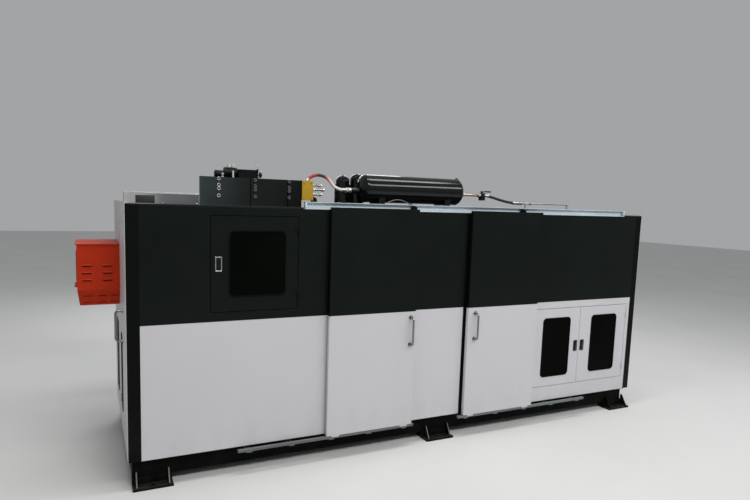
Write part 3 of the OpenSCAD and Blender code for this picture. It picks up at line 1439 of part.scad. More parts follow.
base_frame();
foot_brackets();
front_frame();
rear_frame();
cross_members();
roof_panels();
left_end_wall();
end_wall_pane();
right_end_wall();
rear_panels();
front_upper_left();
front_upper_middle();
front_upper_right();
front_lower_plain();
front_lower_right();
top_rail();
bottom_rails();
cover_channel();
window_door();
window_pane();
window_lock();
window_paddle();
service_door_left();
service_pane_left();
service_paddle_left();
service_door_right();
service_pane_right();
service_paddle_right();
end_door();
end_door_pane();
end_handle();
door_1_upper();
door_1_lower();
door_1_handle();
door_1_roller();
door_2_upper();
door_2_lower();
door_2_handle();
door_2_roller();
console_box();
touch_screen();
emergency_stop();
clamp_frame();
stretch_drive();
manifold_block();
air_tank();
air_filters();
air_fittings();
arch_hose();
outlet_hose();
platen_front();
platen_rear();
mould_front();
mould_rear();
stretch_beam();
blow_head();
base_mould();
oven_bank();
preform_chain();
control_plate();
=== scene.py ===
# %% [markdown]
# # A stretch blow moulding machine in its long guarded cabinet
# The cabinet's solids come from the CAD frame and stay where they are. This lesson gives each of them
# a finish, and adds the small things that a maker bolts, glues or screws on afterwards.

# %% Load the frame
import math

import bpy
from mathutils import Matrix, Vector


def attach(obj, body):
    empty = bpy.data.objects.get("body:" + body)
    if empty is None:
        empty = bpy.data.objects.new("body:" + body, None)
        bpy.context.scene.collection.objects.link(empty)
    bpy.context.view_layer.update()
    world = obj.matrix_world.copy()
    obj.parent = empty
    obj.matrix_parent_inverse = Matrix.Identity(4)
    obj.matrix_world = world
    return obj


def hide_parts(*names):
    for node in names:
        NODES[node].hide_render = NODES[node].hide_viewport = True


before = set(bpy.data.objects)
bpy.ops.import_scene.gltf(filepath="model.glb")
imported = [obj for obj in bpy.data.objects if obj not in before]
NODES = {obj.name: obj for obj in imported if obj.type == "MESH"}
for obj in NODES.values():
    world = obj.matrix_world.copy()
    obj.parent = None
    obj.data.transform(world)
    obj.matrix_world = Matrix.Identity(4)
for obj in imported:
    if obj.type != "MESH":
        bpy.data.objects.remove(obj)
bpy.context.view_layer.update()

# %% [markdown]
# The drawing of the machine counts millimetres from the front left corner of the cabinet at floor
# level. The frame's own origin lies in the middle of the anchor bolts, so one small function moves a
# point from the drawing into the frame, and every piece is placed with it.

# %% Places on the drawing
BODY_L, BODY_D, DOOR_FRONT = 4530, 1450, -45
ORIGIN = Vector((2285, BODY_D / 2, 0))


def at(x, y, z):
    return (Vector((x, y, z)) - ORIGIN) / 1000


print("front left corner at", tuple(round(v, 3) for v in at(0, 0, 0)))

# %% [markdown]
# The camera stands at eye height, close to the machine's left end, so the left part looks much larger
# than the right. Its place was worked out from the straight edges of the cabinet, and a small shift of
# the lens puts the machine where it stands in the picture.

# %% Camera
PICTURE_W, SENSOR_W = 750, 36
FOCAL_PX, SHIFT_PX = 570.26, (24.24, 18.32)
EYE = (-200.5, -3751.2, 1888.2)
YAW, PITCH, ROLL = math.radians(24.803), math.radians(6.425), 0.02879

forward = Vector((math.sin(YAW) * math.cos(PITCH), math.cos(YAW) * math.cos(PITCH), -math.sin(PITCH)))
level = Vector((math.cos(YAW), -math.sin(YAW), 0))
upright = level.cross(forward)
right = math.cos(ROLL) * level + math.sin(ROLL) * upright
up = math.cos(ROLL) * upright - math.sin(ROLL) * level

lens = bpy.data.cameras.new("camera")
lens.sensor_width = SENSOR_W
lens.lens = FOCAL_PX / PICTURE_W * SENSOR_W
lens.shift_x = SHIFT_PX[0] / PICTURE_W
lens.shift_y = SHIFT_PX[1] / PICTURE_W
camera = bpy.data.objects.new("camera", lens)
bpy.context.scene.collection.objects.link(camera)
turn = Matrix((right, up, -forward)).transposed().to_4x4()
camera.matrix_world = Matrix.Translation(at(*EYE)) @ turn
bpy.context.scene.camera = camera
print("lens", round(lens.lens, 2), "mm")

# %% [markdown]
# Paint, metal and rubber all start from the same few nodes: a slow cloud that varies the colour a
# little, a fine bump for the skin, and dust that gathers on faces that look up. A small class adds
# those nodes and links them, so that a finish reads as a list of what it is made of. First come the
# nodes that make a pattern and give it colours.

# %% Nodes that make a pattern


class Pattern:
    """One material and the nodes that are being added to it."""

    def __init__(self, name, rough, metal=0.0, coat=0.0, specular=0.5):
        self.mat = bpy.data.materials.new(name)
        self.mat.use_nodes = True
        self.tree = self.mat.node_tree
        self.shader = self.tree.nodes["Principled BSDF"]
        self.shader.inputs["Roughness"].default_value = rough
        self.shader.inputs["Metallic"].default_value = metal
        self.shader.inputs["Coat Weight"].default_value = coat
        self.shader.inputs["Specular IOR Level"].default_value = specular
        self.coords = self.tree.nodes.new("ShaderNodeTexCoord")

    def node(self, kind, **values):
        made = self.tree.nodes.new(kind)
        for key, value in values.items():
            if hasattr(made, key):
                setattr(made, key, value)
            else:
                made.inputs[key].default_value = value
        return made

    def link(self, a, b):
        self.tree.links.new(a, b)

    def stretched(self, scale):
        mapping = self.node("ShaderNodeMapping")
        mapping.inputs["Scale"].default_value = scale
        self.link(self.coords.outputs["Object"], mapping.inputs["Vector"])
        return mapping.outputs["Vector"]

    def noise(self, size, detail, stretch=(1, 1, 1)):
        """Cloud whose blobs are about size metres across"""
        cloud = self.node("ShaderNodeTexNoise", Scale=1 / size, Detail=detail)
        self.link(self.stretched(stretch), cloud.inputs["Vector"])
        return cloud.outputs["Fac"]

    def ramp(self, source, stops):
        ramp = self.node("ShaderNodeValToRGB")
        while len(ramp.color_ramp.elements) < len(stops):
            ramp.color_ramp.elements.new(0.5)
        for element, (place, colour) in zip(ramp.color_ramp.elements, stops):
            element.position = place
            element.color = (*colour, 1)
        self.link(source, ramp.inputs["Fac"])
        return ramp.outputs["Color"]


print("a pattern can use:", [word for word in dir(Pattern) if not word.startswith("_")])

# %% [markdown]
# A finish mixes those patterns, and where a face is decides how much of each shows. Dust lies on faces
# that look up, which the normal tells, and dirt comes up from the floor, which the height tells. The
# masks could be painted by hand, but worked out like this they fit every piece without a picture.

# %% Nodes that mix and finish


class Finish(Pattern):
    """A pattern with masks, and with the sockets where its nodes end"""

    def mix(self, amount, a, b):
        mix = self.node("ShaderNodeMix", data_type="RGBA")
        self.link(amount, mix.inputs["Factor"])
        for name, value in (("A", a), ("B", b)):
            socket = [s for s in mix.inputs if s.name == name and s.type == "RGBA"][0]
            if isinstance(value, tuple):
                socket.default_value = (*value, 1)
            else:
                self.link(value, socket)
        return [s for s in mix.outputs if s.type == "RGBA"][0]

    def range(self, source, low, high, out_low, out_high):
        step = self.node("ShaderNodeMapRange")
        for name, value in (("From Min", low), ("From Max", high), ("To Min", out_low), ("To Max", out_high)):
            step.inputs[name].default_value = value
        self.link(source, step.inputs["Value"])
        return step.outputs["Result"]

    def facing_up(self, low, high):
        """0 on walls, rising to 1 on faces that look up"""
        geometry = self.node("ShaderNodeNewGeometry")
        split = self.node("ShaderNodeSeparateXYZ")
        self.link(geometry.outputs["Normal"], split.inputs["Vector"])
        return self.range(split.outputs["Z"], low, high, 0.0, 1.0)

    def height(self, low, high):
        """1 at height low, falling to 0 at height high, in metres above the floor"""
        split = self.node("ShaderNodeSeparateXYZ")
        self.link(self.coords.outputs["Object"], split.inputs["Vector"])
        return self.range(split.outputs["Z"], low, high, 1.0, 0.0)

    def times(self, a, b):
        maths = self.node("ShaderNodeMath", operation="MULTIPLY")
        self.link(a, maths.inputs[0])
        self.link(b, maths.inputs[1])
        return maths.outputs["Value"]

    def colour(self, source):
        self.link(source, self.shader.inputs["Base Color"])

    def rough(self, source):
        self.link(source, self.shader.inputs["Roughness"])

    def bump(self, source, strength, distance):
        bump = self.node("ShaderNodeBump", Strength=strength, Distance=distance)
        self.link(source, bump.inputs["Height"])
        self.link(bump.outputs["Normal"], self.shader.inputs["Normal"])


print("a finish adds:", [word for word in vars(Finish) if not word.startswith("_")])

# %% [markdown]
# Three recipes cover nearly every surface, and each takes a colour and a roughness, so that one line
# makes a finish. Sprayed paint comes first, with clouds of tone, darker wipes, dust and dirt. Its
# orange-peel skin is a bump, because the waves are far too small to model.

# %% Recipe for paint
DUST, FLOOR_DIRT = (0.30, 0.28, 0.25), (0.16, 0.14, 0.12)
DIRT_FROM, DIRT_TO = 0.19, 0.55      # heights between which the dirt fades out, in metres


def shade(colour, k):
    return tuple(min(1.0, c * k) for c in colour)


def painted(name, colour, rough, vary=0.12, dust=0.35, skin=0.0006, dirt=0.0, specular=0.5):
    """Sprayed paint: clouds of tone, orange-peel skin, dust on top and dirt near the floor"""
    f = Finish(name, rough, specular=specular)
    tone = f.ramp(f.noise(0.9, 4.0), [(0.3, shade(colour, 1 - vary)), (0.7, shade(colour, 1 + vary))])
    wipes = f.noise(0.16, 5.0, (1, 1, 0.35))
    tone = f.mix(f.range(wipes, 0.52, 0.8, 0.0, 0.25), tone, shade(colour, 1 - 1.6 * vary))
    tone = f.mix(f.times(f.facing_up(0.5, 0.95), f.range(f.noise(0.05, 4.0), 0.25, 0.75, 0.3 * dust, dust)),
                 tone, DUST)
    if dirt:
        splash = f.range(f.noise(0.12, 5.0, (1, 1, 0.3)), 0.42, 0.8, 0.0, dirt)
        tone = f.mix(f.times(f.height(DIRT_FROM, DIRT_TO), splash), tone, FLOOR_DIRT)
    f.colour(tone)
    f.rough(f.range(f.noise(0.25, 4.0), 0.3, 0.7, rough - 0.05, rough + 0.08))
    f.bump(f.noise(0.004, 1.0), 0.25, skin)
    return f.mat


print("recipe:", painted.__name__)

# %% [markdown]
# Bare metal has a grain that runs one way. One cloud, stretched long, drives its colour, its shine and
# its bump, so that the three agree, as they do on metal. Moulded plastic or rubber has a fine even
# grain without a direction, and its clouds are small.

# %% Recipes for metal and plastic


def metal(name, colour, rough, grain=(1, 1, 60), size=0.02, vary=0.15):
    """Bare metal with a grain that runs one way"""
    f = Finish(name, rough, metal=1.0)
    lines = f.noise(size, 4.0, grain)
    f.colour(f.ramp(lines, [(0.25, shade(colour, 1 - vary)), (0.75, shade(colour, 1 + vary))]))
    f.rough(f.range(lines, 0.3, 0.7, rough - 0.06, rough + 0.1))
    f.bump(lines, 0.12, 0.0004)
    return f.mat


def moulded(name, colour, rough, grain=0.0015, vary=0.12, specular=0.5):
    """Plastic or rubber with a fine moulded skin"""
    f = Finish(name, rough, specular=specular)
    f.colour(f.ramp(f.noise(0.05, 4.0), [(0.3, shade(colour, 1 - vary)), (0.7, shade(colour, 1 + vary))]))
    f.rough(f.range(f.noise(0.02, 3.0), 0.3, 0.7, rough - 0.05, rough + 0.07))
    f.bump(f.noise(grain, 2.0), 0.2, 0.0003)
    return f.mat


print("recipes:", metal.__name__, moulded.__name__)

# %% [markdown]
# The cabinet is sprayed in two paints: a green-black above and a pale grey below. The pale sheets
# pick up a little dirt near the floor, and the roof gathers dust, because nobody wipes it. The black
# The black of the frame and the tank are paints of their own, each with its own shine. The base gets
# a darker copy of the frame's black, with less dust and dirt: painted shade for the dark under the cabinet.

# %% The paints
black_paint = painted("black paint", (0.0040, 0.0062, 0.0049), 0.34, dust=0.06, skin=0.0004,
                      specular=0.10)
frame_black = painted("frame black", (0.0022, 0.0030, 0.0024), 0.42, dust=0.08, dirt=0.08, specular=0.07)
# Base frame: a darker copy of the frame black, painted shade under the cabinet.
base_black_shaded = painted("base black painted shade", (0.0018, 0.0022, 0.0018), 0.45, dust=0.04, dirt=0.02, specular=0.04)
light_paint = painted("light grey paint", (0.50, 0.49, 0.515), 0.36, vary=0.02, dust=0.2, dirt=0.12)
end_paint = painted("end wall paint", (0.54, 0.53, 0.54), 0.38, vary=0.04, dust=0.2, dirt=0.2)
roof_paint = painted("roof paint", (0.012, 0.014, 0.013), 0.45, vary=0.1, dust=0.12, specular=0.15)
rail_metal = painted("rail paint", (0.48, 0.55, 0.60), 0.34, vary=0.12, dust=0.35)
# Lower rails: a dark copy of the rail paint, painted shade low under the doors, with real floor dirt on it.
low_rail_shaded_paint = painted("low rail paint with painted shade", (0.10, 0.115, 0.12), 0.4, vary=0.2, dust=0.3, dirt=0.3)
orange_paint = painted("orange paint", (0.49, 0.029, 0.005), 0.42, vary=0.09, dust=0.05, skin=0.001,
                       specular=0.15)
# Pale strips on the ribs of the front feet: a painted highlight along their edges.
rib_highlight_paint = painted("rib edge highlight", (0.11, 0.11, 0.105), 0.45, vary=0.35, dust=0.1, specular=0.3)
yellow_paint = painted("yellow paint", (0.40, 0.245, 0.012), 0.4, vary=0.12, dust=0.1, specular=0.3)
tank_black = painted("tank black", (0.0022, 0.0030, 0.0025), 0.09, vary=0.1, dust=0.02, skin=0.0006,
                     specular=0.34)
print("paints ready")

# %% [markdown]
# Two long pieces change tone from left to right: the clamp tower is greyer at its left edge, where light
# grazes it, and the cable cover is palest at its left end and darker towards its right. Two
# materials side by side would meet in a hard line, so a ramp along the cabinet's length does both.

# %% Finishes that fade from left to right


def faded(name, rough, left, right, stops, specular):
    """Paint whose tone follows X on the drawing, with clouds of the same tone"""
    f = Finish(name, rough, specular=specular)
    split = f.node("ShaderNodeSeparateXYZ")
    f.link(f.coords.outputs["Object"], split.inputs["Vector"])
    along = f.range(split.outputs["X"], at(left, 0, 0).x, at(right, 0, 0).x, 0.0, 1.0)
    tone, worn = f.ramp(along, stops), f.ramp(along, [(place, shade(c, 0.8)) for place, c in stops])
    f.colour(f.mix(f.range(f.noise(0.14, 5.0), 0.35, 0.65, 0.0, 1.0), tone, worn))
    f.rough(f.range(f.noise(0.25, 4.0), 0.3, 0.7, rough - 0.05, rough + 0.08))
    f.bump(f.noise(0.004, 1.0), 0.25, 0.0005)
    return f.mat


TOWER_TONES = [(0.0, (0.032, 0.044, 0.047)), (0.4, (0.009, 0.013, 0.012)), (1.0, (0.0022, 0.0036, 0.0032))]
COVER_TONES = [(0.0, (0.40, 0.365, 0.37)), (0.25, (0.35, 0.345, 0.355)), (0.5, (0.12, 0.128, 0.135)),
               (1.0, (0.08, 0.09, 0.10))]
TOWER_LEFT, TOWER_RIGHT, COVER_L = 500, 1233, 455
tower_black = faded("tower black", 0.4, TOWER_LEFT, TOWER_RIGHT, TOWER_TONES, 0.12)
cover_metal = faded("cover paint", 0.38, 0, COVER_L, COVER_TONES, 0.3)
print("fading finishes:", tower_black.name, cover_metal.name)

# %% [markdown]
# Metals keep one plain colour and get their look from a fine grain and an uneven shine. The handles
# and guide bars are drawn tube, the mould halves are milled, and the oven's sheets are rolled. The
# stretch of the grain tells them apart, with no picture and no seam.

# %% Metals, plastics and rubber
steel = metal("drawn steel", (0.26, 0.265, 0.27), 0.20, (1, 1, 8))
machined = metal("machined steel", (0.42, 0.43, 0.44), 0.34, (40, 1, 1))
chrome = metal("chrome", (0.72, 0.73, 0.75), 0.12, (1, 1, 1), vary=0.05)
zinc = metal("zinc plate", (0.55, 0.55, 0.53), 0.32, (1, 1, 1), size=0.004, vary=0.2)
dull_zinc = metal("dull zinc plate", (0.11, 0.115, 0.12), 0.45, (1, 1, 1), size=0.004, vary=0.25)
alloy = metal("milled alloy", (0.68, 0.69, 0.70), 0.30, (60, 1, 1))
sheet_alloy = metal("sheet alloy", (0.60, 0.61, 0.62), 0.38, (1, 1, 30))
copper = metal("copper pipe", (0.42, 0.33, 0.27), 0.32, (20, 1, 1))
black_plastic = moulded("black plastic", (0.005, 0.005, 0.006), 0.42, specular=0.15)
red_plastic = moulded("red plastic", (0.50, 0.012, 0.008), 0.3)
grey_plastic = moulded("grey plastic", (0.40, 0.41, 0.40), 0.45)
dull_plastic = moulded("dull grey plastic", (0.16, 0.165, 0.165), 0.55)
brown_plastic = moulded("brown plastic", (0.10, 0.045, 0.025), 0.4)
ceramic = moulded("lamp ceramic", (0.62, 0.60, 0.55), 0.6)
quartz = moulded("lamp quartz", (0.55, 0.53, 0.50), 0.12)
seal_rubber = moulded("seal rubber", (0.003, 0.0035, 0.0033), 0.6, specular=0.04)
black_rubber = moulded("black rubber", (0.010, 0.010, 0.011), 0.5, grain=0.003)
print("metals, plastics and rubber ready")

# %% [markdown]
# The panes are nearly black, so that nothing shows behind them: painted shade for the dark inside of
# the cabinet, because glass that lets light through would only cost time. A clean gloss tells them from
# the paint. The touch screen is dark glass with a faint blue field.

# %% Panes and screen


def shade_pane():
    """Nearly black pane, painted shade for the dark inside behind it, with a clean gloss"""
    f = Finish("dark pane with painted shade", 0.07, specular=0.015)
    f.colour(f.ramp(f.noise(0.6, 2.0), [(0.3, (0.0014, 0.0018, 0.0014)), (0.7, (0.0026, 0.0032, 0.0026))]))
    f.rough(f.range(f.noise(0.2, 4.0), 0.35, 0.75, 0.05, 0.14))
    return f.mat


def lit_screen():
    """Dark glass of a touch screen with a faint blue field behind it"""
    f = Finish("screen glass", 0.08, coat=0.4)
    f.colour(f.ramp(f.noise(0.12, 1.0), [(0.35, (0.006, 0.008, 0.012)), (0.7, (0.010, 0.014, 0.022))]))
    f.rough(f.range(f.noise(0.1, 4.0), 0.35, 0.75, 0.06, 0.18))
    return f.mat


pane, screen = shade_pane(), lit_screen()
print("glossy:", pane.name, "and", screen.name)

# %% [markdown]
# The arched hose is braided and red. It is red at the manifold, turns black over the top of its arch,
# which is painted shade, and ends pale at the tank, which is a painted highlight. Its colour follows the
# length of the cabinet, which is enough because the hose never turns back.

# %% Hose finish
# Red is the hose's own colour; the black band is painted shade and the pale end a painted highlight.
HOSE_TONES_LIGHT_AND_SHADE = [(0.0, (0.40, 0.03, 0.02)), (0.22, (0.33, 0.02, 0.02)), (0.30, (0.02, 0.015, 0.015)),
              (0.44, (0.03, 0.02, 0.02)), (0.50, (0.45, 0.10, 0.09)), (0.58, (0.60, 0.42, 0.40)),
              (0.68, (0.66, 0.60, 0.58)), (0.92, (0.66, 0.63, 0.61))]


def braided_hose():
    f = Finish("braided hose", 0.5)
    split = f.node("ShaderNodeSeparateXYZ")
    f.link(f.coords.outputs["Object"], split.inputs["Vector"])
    along = f.range(split.outputs["X"], at(1285, 0, 0).x, at(1560, 0, 0).x, 0.0, 1.0)
    lit_tones = f.ramp(along, HOSE_TONES_LIGHT_AND_SHADE)
    braid = f.node("ShaderNodeTexWave", Scale=140.0, Distortion=6.0, Detail=2.0)
    f.link(f.coords.outputs["Object"], braid.inputs["Vector"])
    f.colour(f.mix(f.range(braid.outputs["Fac"], 0.3, 0.7, 0.0, 0.25), lit_tones, (0.05, 0.02, 0.02)))
    f.bump(braid.outputs["Fac"], 0.35, 0.0008)
    return f.mat


hose_red = braided_hose()
print("braid ready:", hose_red.name)

# %% [markdown]
# Every solid of the frame now gets its finish. The list goes by finish, as a paint shop orders its
# work, and each line names the solids that are done together. The two hoses are left out, because
# pieces of this script replace them further on.

# %% Finishes on the solids
COATS = (
    (base_black_shaded, "base_frame"),
    (frame_black, "foot_brackets front_frame rear_frame cross_members"),
    (roof_paint, "roof_panels"),
    (end_paint, "left_end_wall right_end_wall rear_panels end_door"),
    (black_paint, "front_upper_left front_upper_middle front_upper_right window_door door_1_upper"),
    (black_paint, "door_2_upper stretch_drive"),
    (light_paint, "front_lower_plain front_lower_right service_door_left service_door_right"),
    (light_paint, "door_1_lower door_2_lower"),
    (rail_metal, "top_rail"), (low_rail_shaded_paint, "bottom_rails"), (cover_metal, "cover_channel"),
    (orange_paint, "console_box"), (yellow_paint, "manifold_block"), (tower_black, "clamp_frame"),
    (tank_black, "air_tank air_filters"),
    (steel, "end_handle door_1_handle door_2_handle"), (chrome, "window_lock"), (zinc, "air_fittings"),
    (machined, "platen_front platen_rear stretch_beam blow_head preform_chain"),
    (alloy, "mould_front mould_rear base_mould"), (sheet_alloy, "oven_bank control_plate"),
    (black_plastic, "window_paddle service_paddle_left service_paddle_right door_1_roller door_2_roller"),
    (red_plastic, "emergency_stop"), (screen, "touch_screen"),
    (pane, "end_wall_pane window_pane service_pane_left service_pane_right end_door_pane"),
)
finished = 0
for finish, names in COATS:
    for name in names.split():
        NODES[name].data.materials.clear()
        NODES[name].data.materials.append(finish)
        finished += 1
print("finished nodes:", finished)

# %% [markdown]
# New pieces are shaped the way a hand would do it: a primitive goes in at its size and place, its
# edges are rounded, and the result is laid into the frame with its place in the mesh. These helpers
# keep that to one line a piece.

# %% Select, settle and round off
SMOOTH_ANGLE = math.radians(28)


def clear():
    bpy.ops.object.select_all(action="DESELECT")


def only(*objects):
    clear()
    for obj in objects:
        obj.select_set(True)
    bpy.context.view_layer.objects.active = objects[0]


def settle(obj, name):
    """Puts the place, turn and size of a new piece into its mesh"""
    only(obj)
    bpy.ops.object.transform_apply(location=True, rotation=True, scale=True)
    obj.name = name
    return obj


def smooth(obj):
    only(obj)
    bpy.ops.object.shade_smooth_by_angle(angle=SMOOTH_ANGLE)
    return obj


def modify(obj, kind, **values):
    modifier = obj.modifiers.new(kind.lower(), kind)
    for key, value in values.items():
        setattr(modifier, key, value)
    only(obj)
    bpy.ops.object.modifier_apply(modifier=modifier.name)


def soften(obj, width, segments=2):
    """Rounds the edges of a piece; the width is in millimetres"""
    modify(obj, "BEVEL", width=width / 1000, segments=segments, limit_method="ANGLE", angle_limit=0.6)
    return smooth(obj)


print("edges stay sharp above", round(math.degrees(SMOOTH_ANGLE)), "degrees")

# %% [markdown]
# Four shapes start almost every small piece: a block and a rod between two places on the drawing, a
# ring round an axis, and a stub that stands on the frame's origin, ready to be copied.

# %% Block, rod, ring and stub


def block(name, x, y, z, round_off=1.0, segments=2):
    """Box between the lowest and highest x, y and z on the drawing"""
    low, high = at(x[0], y[0], z[0]), at(x[1], y[1], z[1])
    clear()
    bpy.ops.mesh.primitive_cube_add(size=1, location=(low + high) / 2)
    obj = bpy.context.object
    obj.scale = high - low
    return soften(settle(obj, name), round_off, segments)


def rod(name, start, end, radius, sides=28, round_off=0.8):
    a, b = at(*start), at(*end)
    clear()
    bpy.ops.mesh.primitive_cylinder_add(
        vertices=sides, radius=radius / 1000, depth=(b - a).length, location=(a + b) / 2,
        rotation=(b - a).to_track_quat("Z", "Y").to_euler())
    return soften(settle(bpy.context.object, name), round_off, 2)


def ring(name, centre, axis, major, minor, sides=40, around=10):
    clear()
    bpy.ops.mesh.primitive_torus_add(
        location=at(*centre), rotation=Vector(axis).to_track_quat("Z", "Y").to_euler(),
        major_radius=major / 1000, minor_radius=minor / 1000, major_segments=sides, minor_segments=around)
    obj = settle(bpy.context.object, name)
    bpy.ops.object.shade_smooth()
    return obj


def stub(name, radius, height, sides=24, low=0.0):
    """Cylinder along +Z on the frame's origin, in millimetres, from low to low + height"""
    clear()
    bpy.ops.mesh.primitive_cylinder_add(vertices=sides, radius=radius / 1000, depth=height / 1000,
                                        location=(0, 0, (low + height / 2) / 1000))
    return settle(bpy.context.object, name)


print("shapes:", block.__name__, rod.__name__, ring.__name__, stub.__name__)

# %% [markdown]
# Pieces of one finish on one body are joined and get their finish and their body in one call. What
# repeats is a model: it is made once, looking along +Z, and copied, each copy with its own mesh. An
# array would need even steps, which the places on the drawing don't have.

# %% Join, dress and copy
# Turns for a model
FRONT = Matrix.Rotation(math.radians(90), 4, "X")
BACK = Matrix.Rotation(math.radians(-90), 4, "X")
LEFT = Matrix.Rotation(math.radians(-90), 4, "Y")
RIGHT = Matrix.Rotation(math.radians(90), 4, "Y")
UP = Matrix.Identity(4)
MODELS = []     # pieces that are only copied from, taken away at the end


def join(name, pieces):
    only(*pieces)
    if len(pieces) > 1:
        bpy.ops.object.join()
    obj = bpy.context.object
    obj.name = name
    return obj


def dress(obj, body, finish):
    obj.data.materials.clear()
    obj.data.materials.append(finish)
    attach(obj, body)


def fit(name, pieces, finish, body="cabinet"):
    dress(join(name, pieces), body, finish)


def keep_model(obj):
    MODELS.append(obj)
    return obj


def copies(model, name, places, turn=UP):
    """Copies a model, made at the frame's origin, to each place on the drawing, and joins the copies"""
    pieces = []
    for place in places:
        piece = model.copy()
        piece.data = model.data.copy()
        bpy.context.scene.collection.objects.link(piece)
        piece.data.transform(Matrix.Translation(at(*place)) @ turn)
        pieces.append(piece)
    return join(name, pieces)


print("ways to turn a model: front, back, left, right and up")

# %% [markdown]
# Two hoses hang between fittings on the roof. Each is a curve that follows the same points as its CAD
# solid, so that it leaves and enters its fittings straight. The arched one climbs at 45 degrees from
# the yellow block, turns over and levels out at the tank; the other sags on its way down. First come
# the fittings that they join, in millimetres on the drawing.

# %% Where the hoses begin and end
TANK_X, TANK_L, TANK_Y, TANK_Z, TANK_R = 1670, 924, 200, 2010, 105
MANIFOLD_FACE, MANIFOLD_TOP = 1319.3, 2048
PORT_Z = TANK_Z - 18
VALVE_X = TANK_X + TANK_L + 231
TUBE_X, TUBE_Z = VALVE_X + 358, PORT_Z - 54
HOSE_START = (1294, 275, MANIFOLD_TOP + 18)
HOSE_END = (TANK_X - 64 - 43, TANK_Y, PORT_Z)
LEAD, SEAT = 3, 0.3      # straight lead at a hose's end, and the hairline between hose and fitting


def ease(s):
    return s * s * (3 - 2 * s)


print("arched hose from", HOSE_START, "to", HOSE_END)

# %% [markdown]
# The arched hose is two bends, one over the top and one back to level. Both have the same radius,
# which follows from the room between its fittings, and a hose that stiff really bends like that.

# %% Route of the arched hose


def arch_points():
    run, fall = HOSE_END[0] - HOSE_START[0], HOSE_END[2] - HOSE_START[2]
    bend = (run - 15) / 2.5
    rise = math.radians(45)
    dip = math.acos(fall / (2 * bend) + (1 + math.cos(rise)) / 2)
    flat = [(-LEAD * math.cos(rise), -LEAD * math.sin(rise))]
    for i in range(12):
        h = rise - i / 11 * (rise + dip)
        flat.append((bend * (math.sin(rise) - math.sin(h)), bend * (math.cos(h) - math.cos(rise))))
    x1, z1 = flat[-1]
    for i in range(1, 9):
        h = dip * (i / 8 - 1)
        flat.append((x1 + bend * (math.sin(h) + math.sin(dip)), z1 + bend * (math.cos(dip) - math.cos(h))))
    flat += [(run - LEAD, fall), (run - SEAT, fall)]
    return [(HOSE_START[0] + x, HOSE_START[1] + (TANK_Y - HOSE_START[1]) * ease(x / run), HOSE_START[2] + z)
            for x, z in flat]


arch_route = arch_points()
print("points on the arched hose:", len(arch_route))

# %% [markdown]
# The other hose leaves the valve level, hangs a little lower than a plain curve would, and meets the
# tube level again. An easing function levels the ends and a half wave, fading out, adds the sag.

# %% Route of the outlet hose


def outlet_points():
    start, end = VALVE_X + 32, TUBE_X
    points = [(start + SEAT, TANK_Y, PORT_Z)]
    for i in range(16):
        s = i / 15
        sink = ease(s) + 0.22 * math.sin(math.pi * s) * (1 - s)
        x = start + LEAD + s * (end - start - 2 * LEAD)
        points.append((x, TANK_Y, PORT_Z - (PORT_Z - TUBE_Z) * sink))
    return points + [(end - SEAT, TANK_Y, TUBE_Z)]


outlet_route = outlet_points()
print("points on the outlet hose:", len(outlet_route))

# Its skin is a round bevel on a smooth curve, which stays equally thick round every bend.

# %% Hoses as cords
ARCH_D, OUTLET_D = 24, 22


def hose(name, route, diameter, finish, node=None):
    curve = bpy.data.curves.new(name, "CURVE")
    curve.dimensions = "3D"
    curve.bevel_depth = diameter / 2000
    curve.bevel_resolution = 5
    curve.resolution_u = 6
    curve.use_fill_caps = True
    spline = curve.splines.new("BEZIER")
    spline.bezier_points.add(len(route) - 1)
    for point, place in zip(spline.bezier_points, route):
        point.co = at(*place)
        point.handle_left_type = point.handle_right_type = "AUTO"
    obj = bpy.data.objects.new(name, curve)
    bpy.context.scene.collection.objects.link(obj)
    curve.materials.append(finish)
    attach(obj, "cabinet")
    if node:
        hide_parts(node)


hose("arched_hose_line", arch_route, ARCH_D, hose_red, "arch_hose")
hose("outlet_hose_line", outlet_route, OUTLET_D, black_rubber,
     "outlet_hose")

# %% [markdown]
# A thin grey sensor cable lies in a low arch on the roof in front of the tank, from one clip to the
# next. Its route is a half wave between the clips, and the function that drew the hoses draws it.

# %% Sensor cable
ROOF_Z = 1855
CABLE_LEFT, CABLE_RIGHT, CABLE_Y, CABLE_Z, CABLE_D = 1778, 2112, 70, 1860, 5
CABLE_STEPS, CABLE_RISE = 17, 70
cable_route = [(CABLE_LEFT + i / CABLE_STEPS * (CABLE_RIGHT - CABLE_LEFT), CABLE_Y,
                CABLE_Z + CABLE_RISE * math.sin(math.pi * i / CABLE_STEPS)) for i in range(CABLE_STEPS + 1)]
hose("sensor_cable_line", cable_route, CABLE_D, dull_plastic)
clips = [block("clip", (x - 9, x + 9), (CABLE_Y - 9, CABLE_Y + 9), (ROOF_Z, ROOF_Z + 12), 2.0)
         for x in (CABLE_LEFT, CABLE_RIGHT)]
fit("cable_clips", clips, black_plastic)

# %% [markdown]
# A pressed ferrule holds each hose end but the one in the yellow block: a sleeve with grooves. One
# ferrule starts as a cylinder, thin rings are cut out of it with a boolean, and it is copied to the ends.

# %% Hose ferrules


def ferrule(radius, length, grooves):
    """Sleeve along +Z with pressed grooves"""
    sleeve = stub("ferrule", radius, length, 28)
    tool = join("groove", [cutter(radius, (i + 1) * length / (grooves + 1)) for i in range(grooves)])
    modify(sleeve, "BOOLEAN", object=tool, operation="DIFFERENCE", solver="EXACT")
    bpy.data.objects.remove(tool)
    return soften(sleeve, 0.5, 1)


def cutter(radius, z):
    bpy.ops.mesh.primitive_torus_add(location=(0, 0, z / 1000), major_radius=(radius + 0.6) / 1000,
                                     minor_radius=0.0016, major_segments=28, minor_segments=8)
    return settle(bpy.context.object, "cutter")


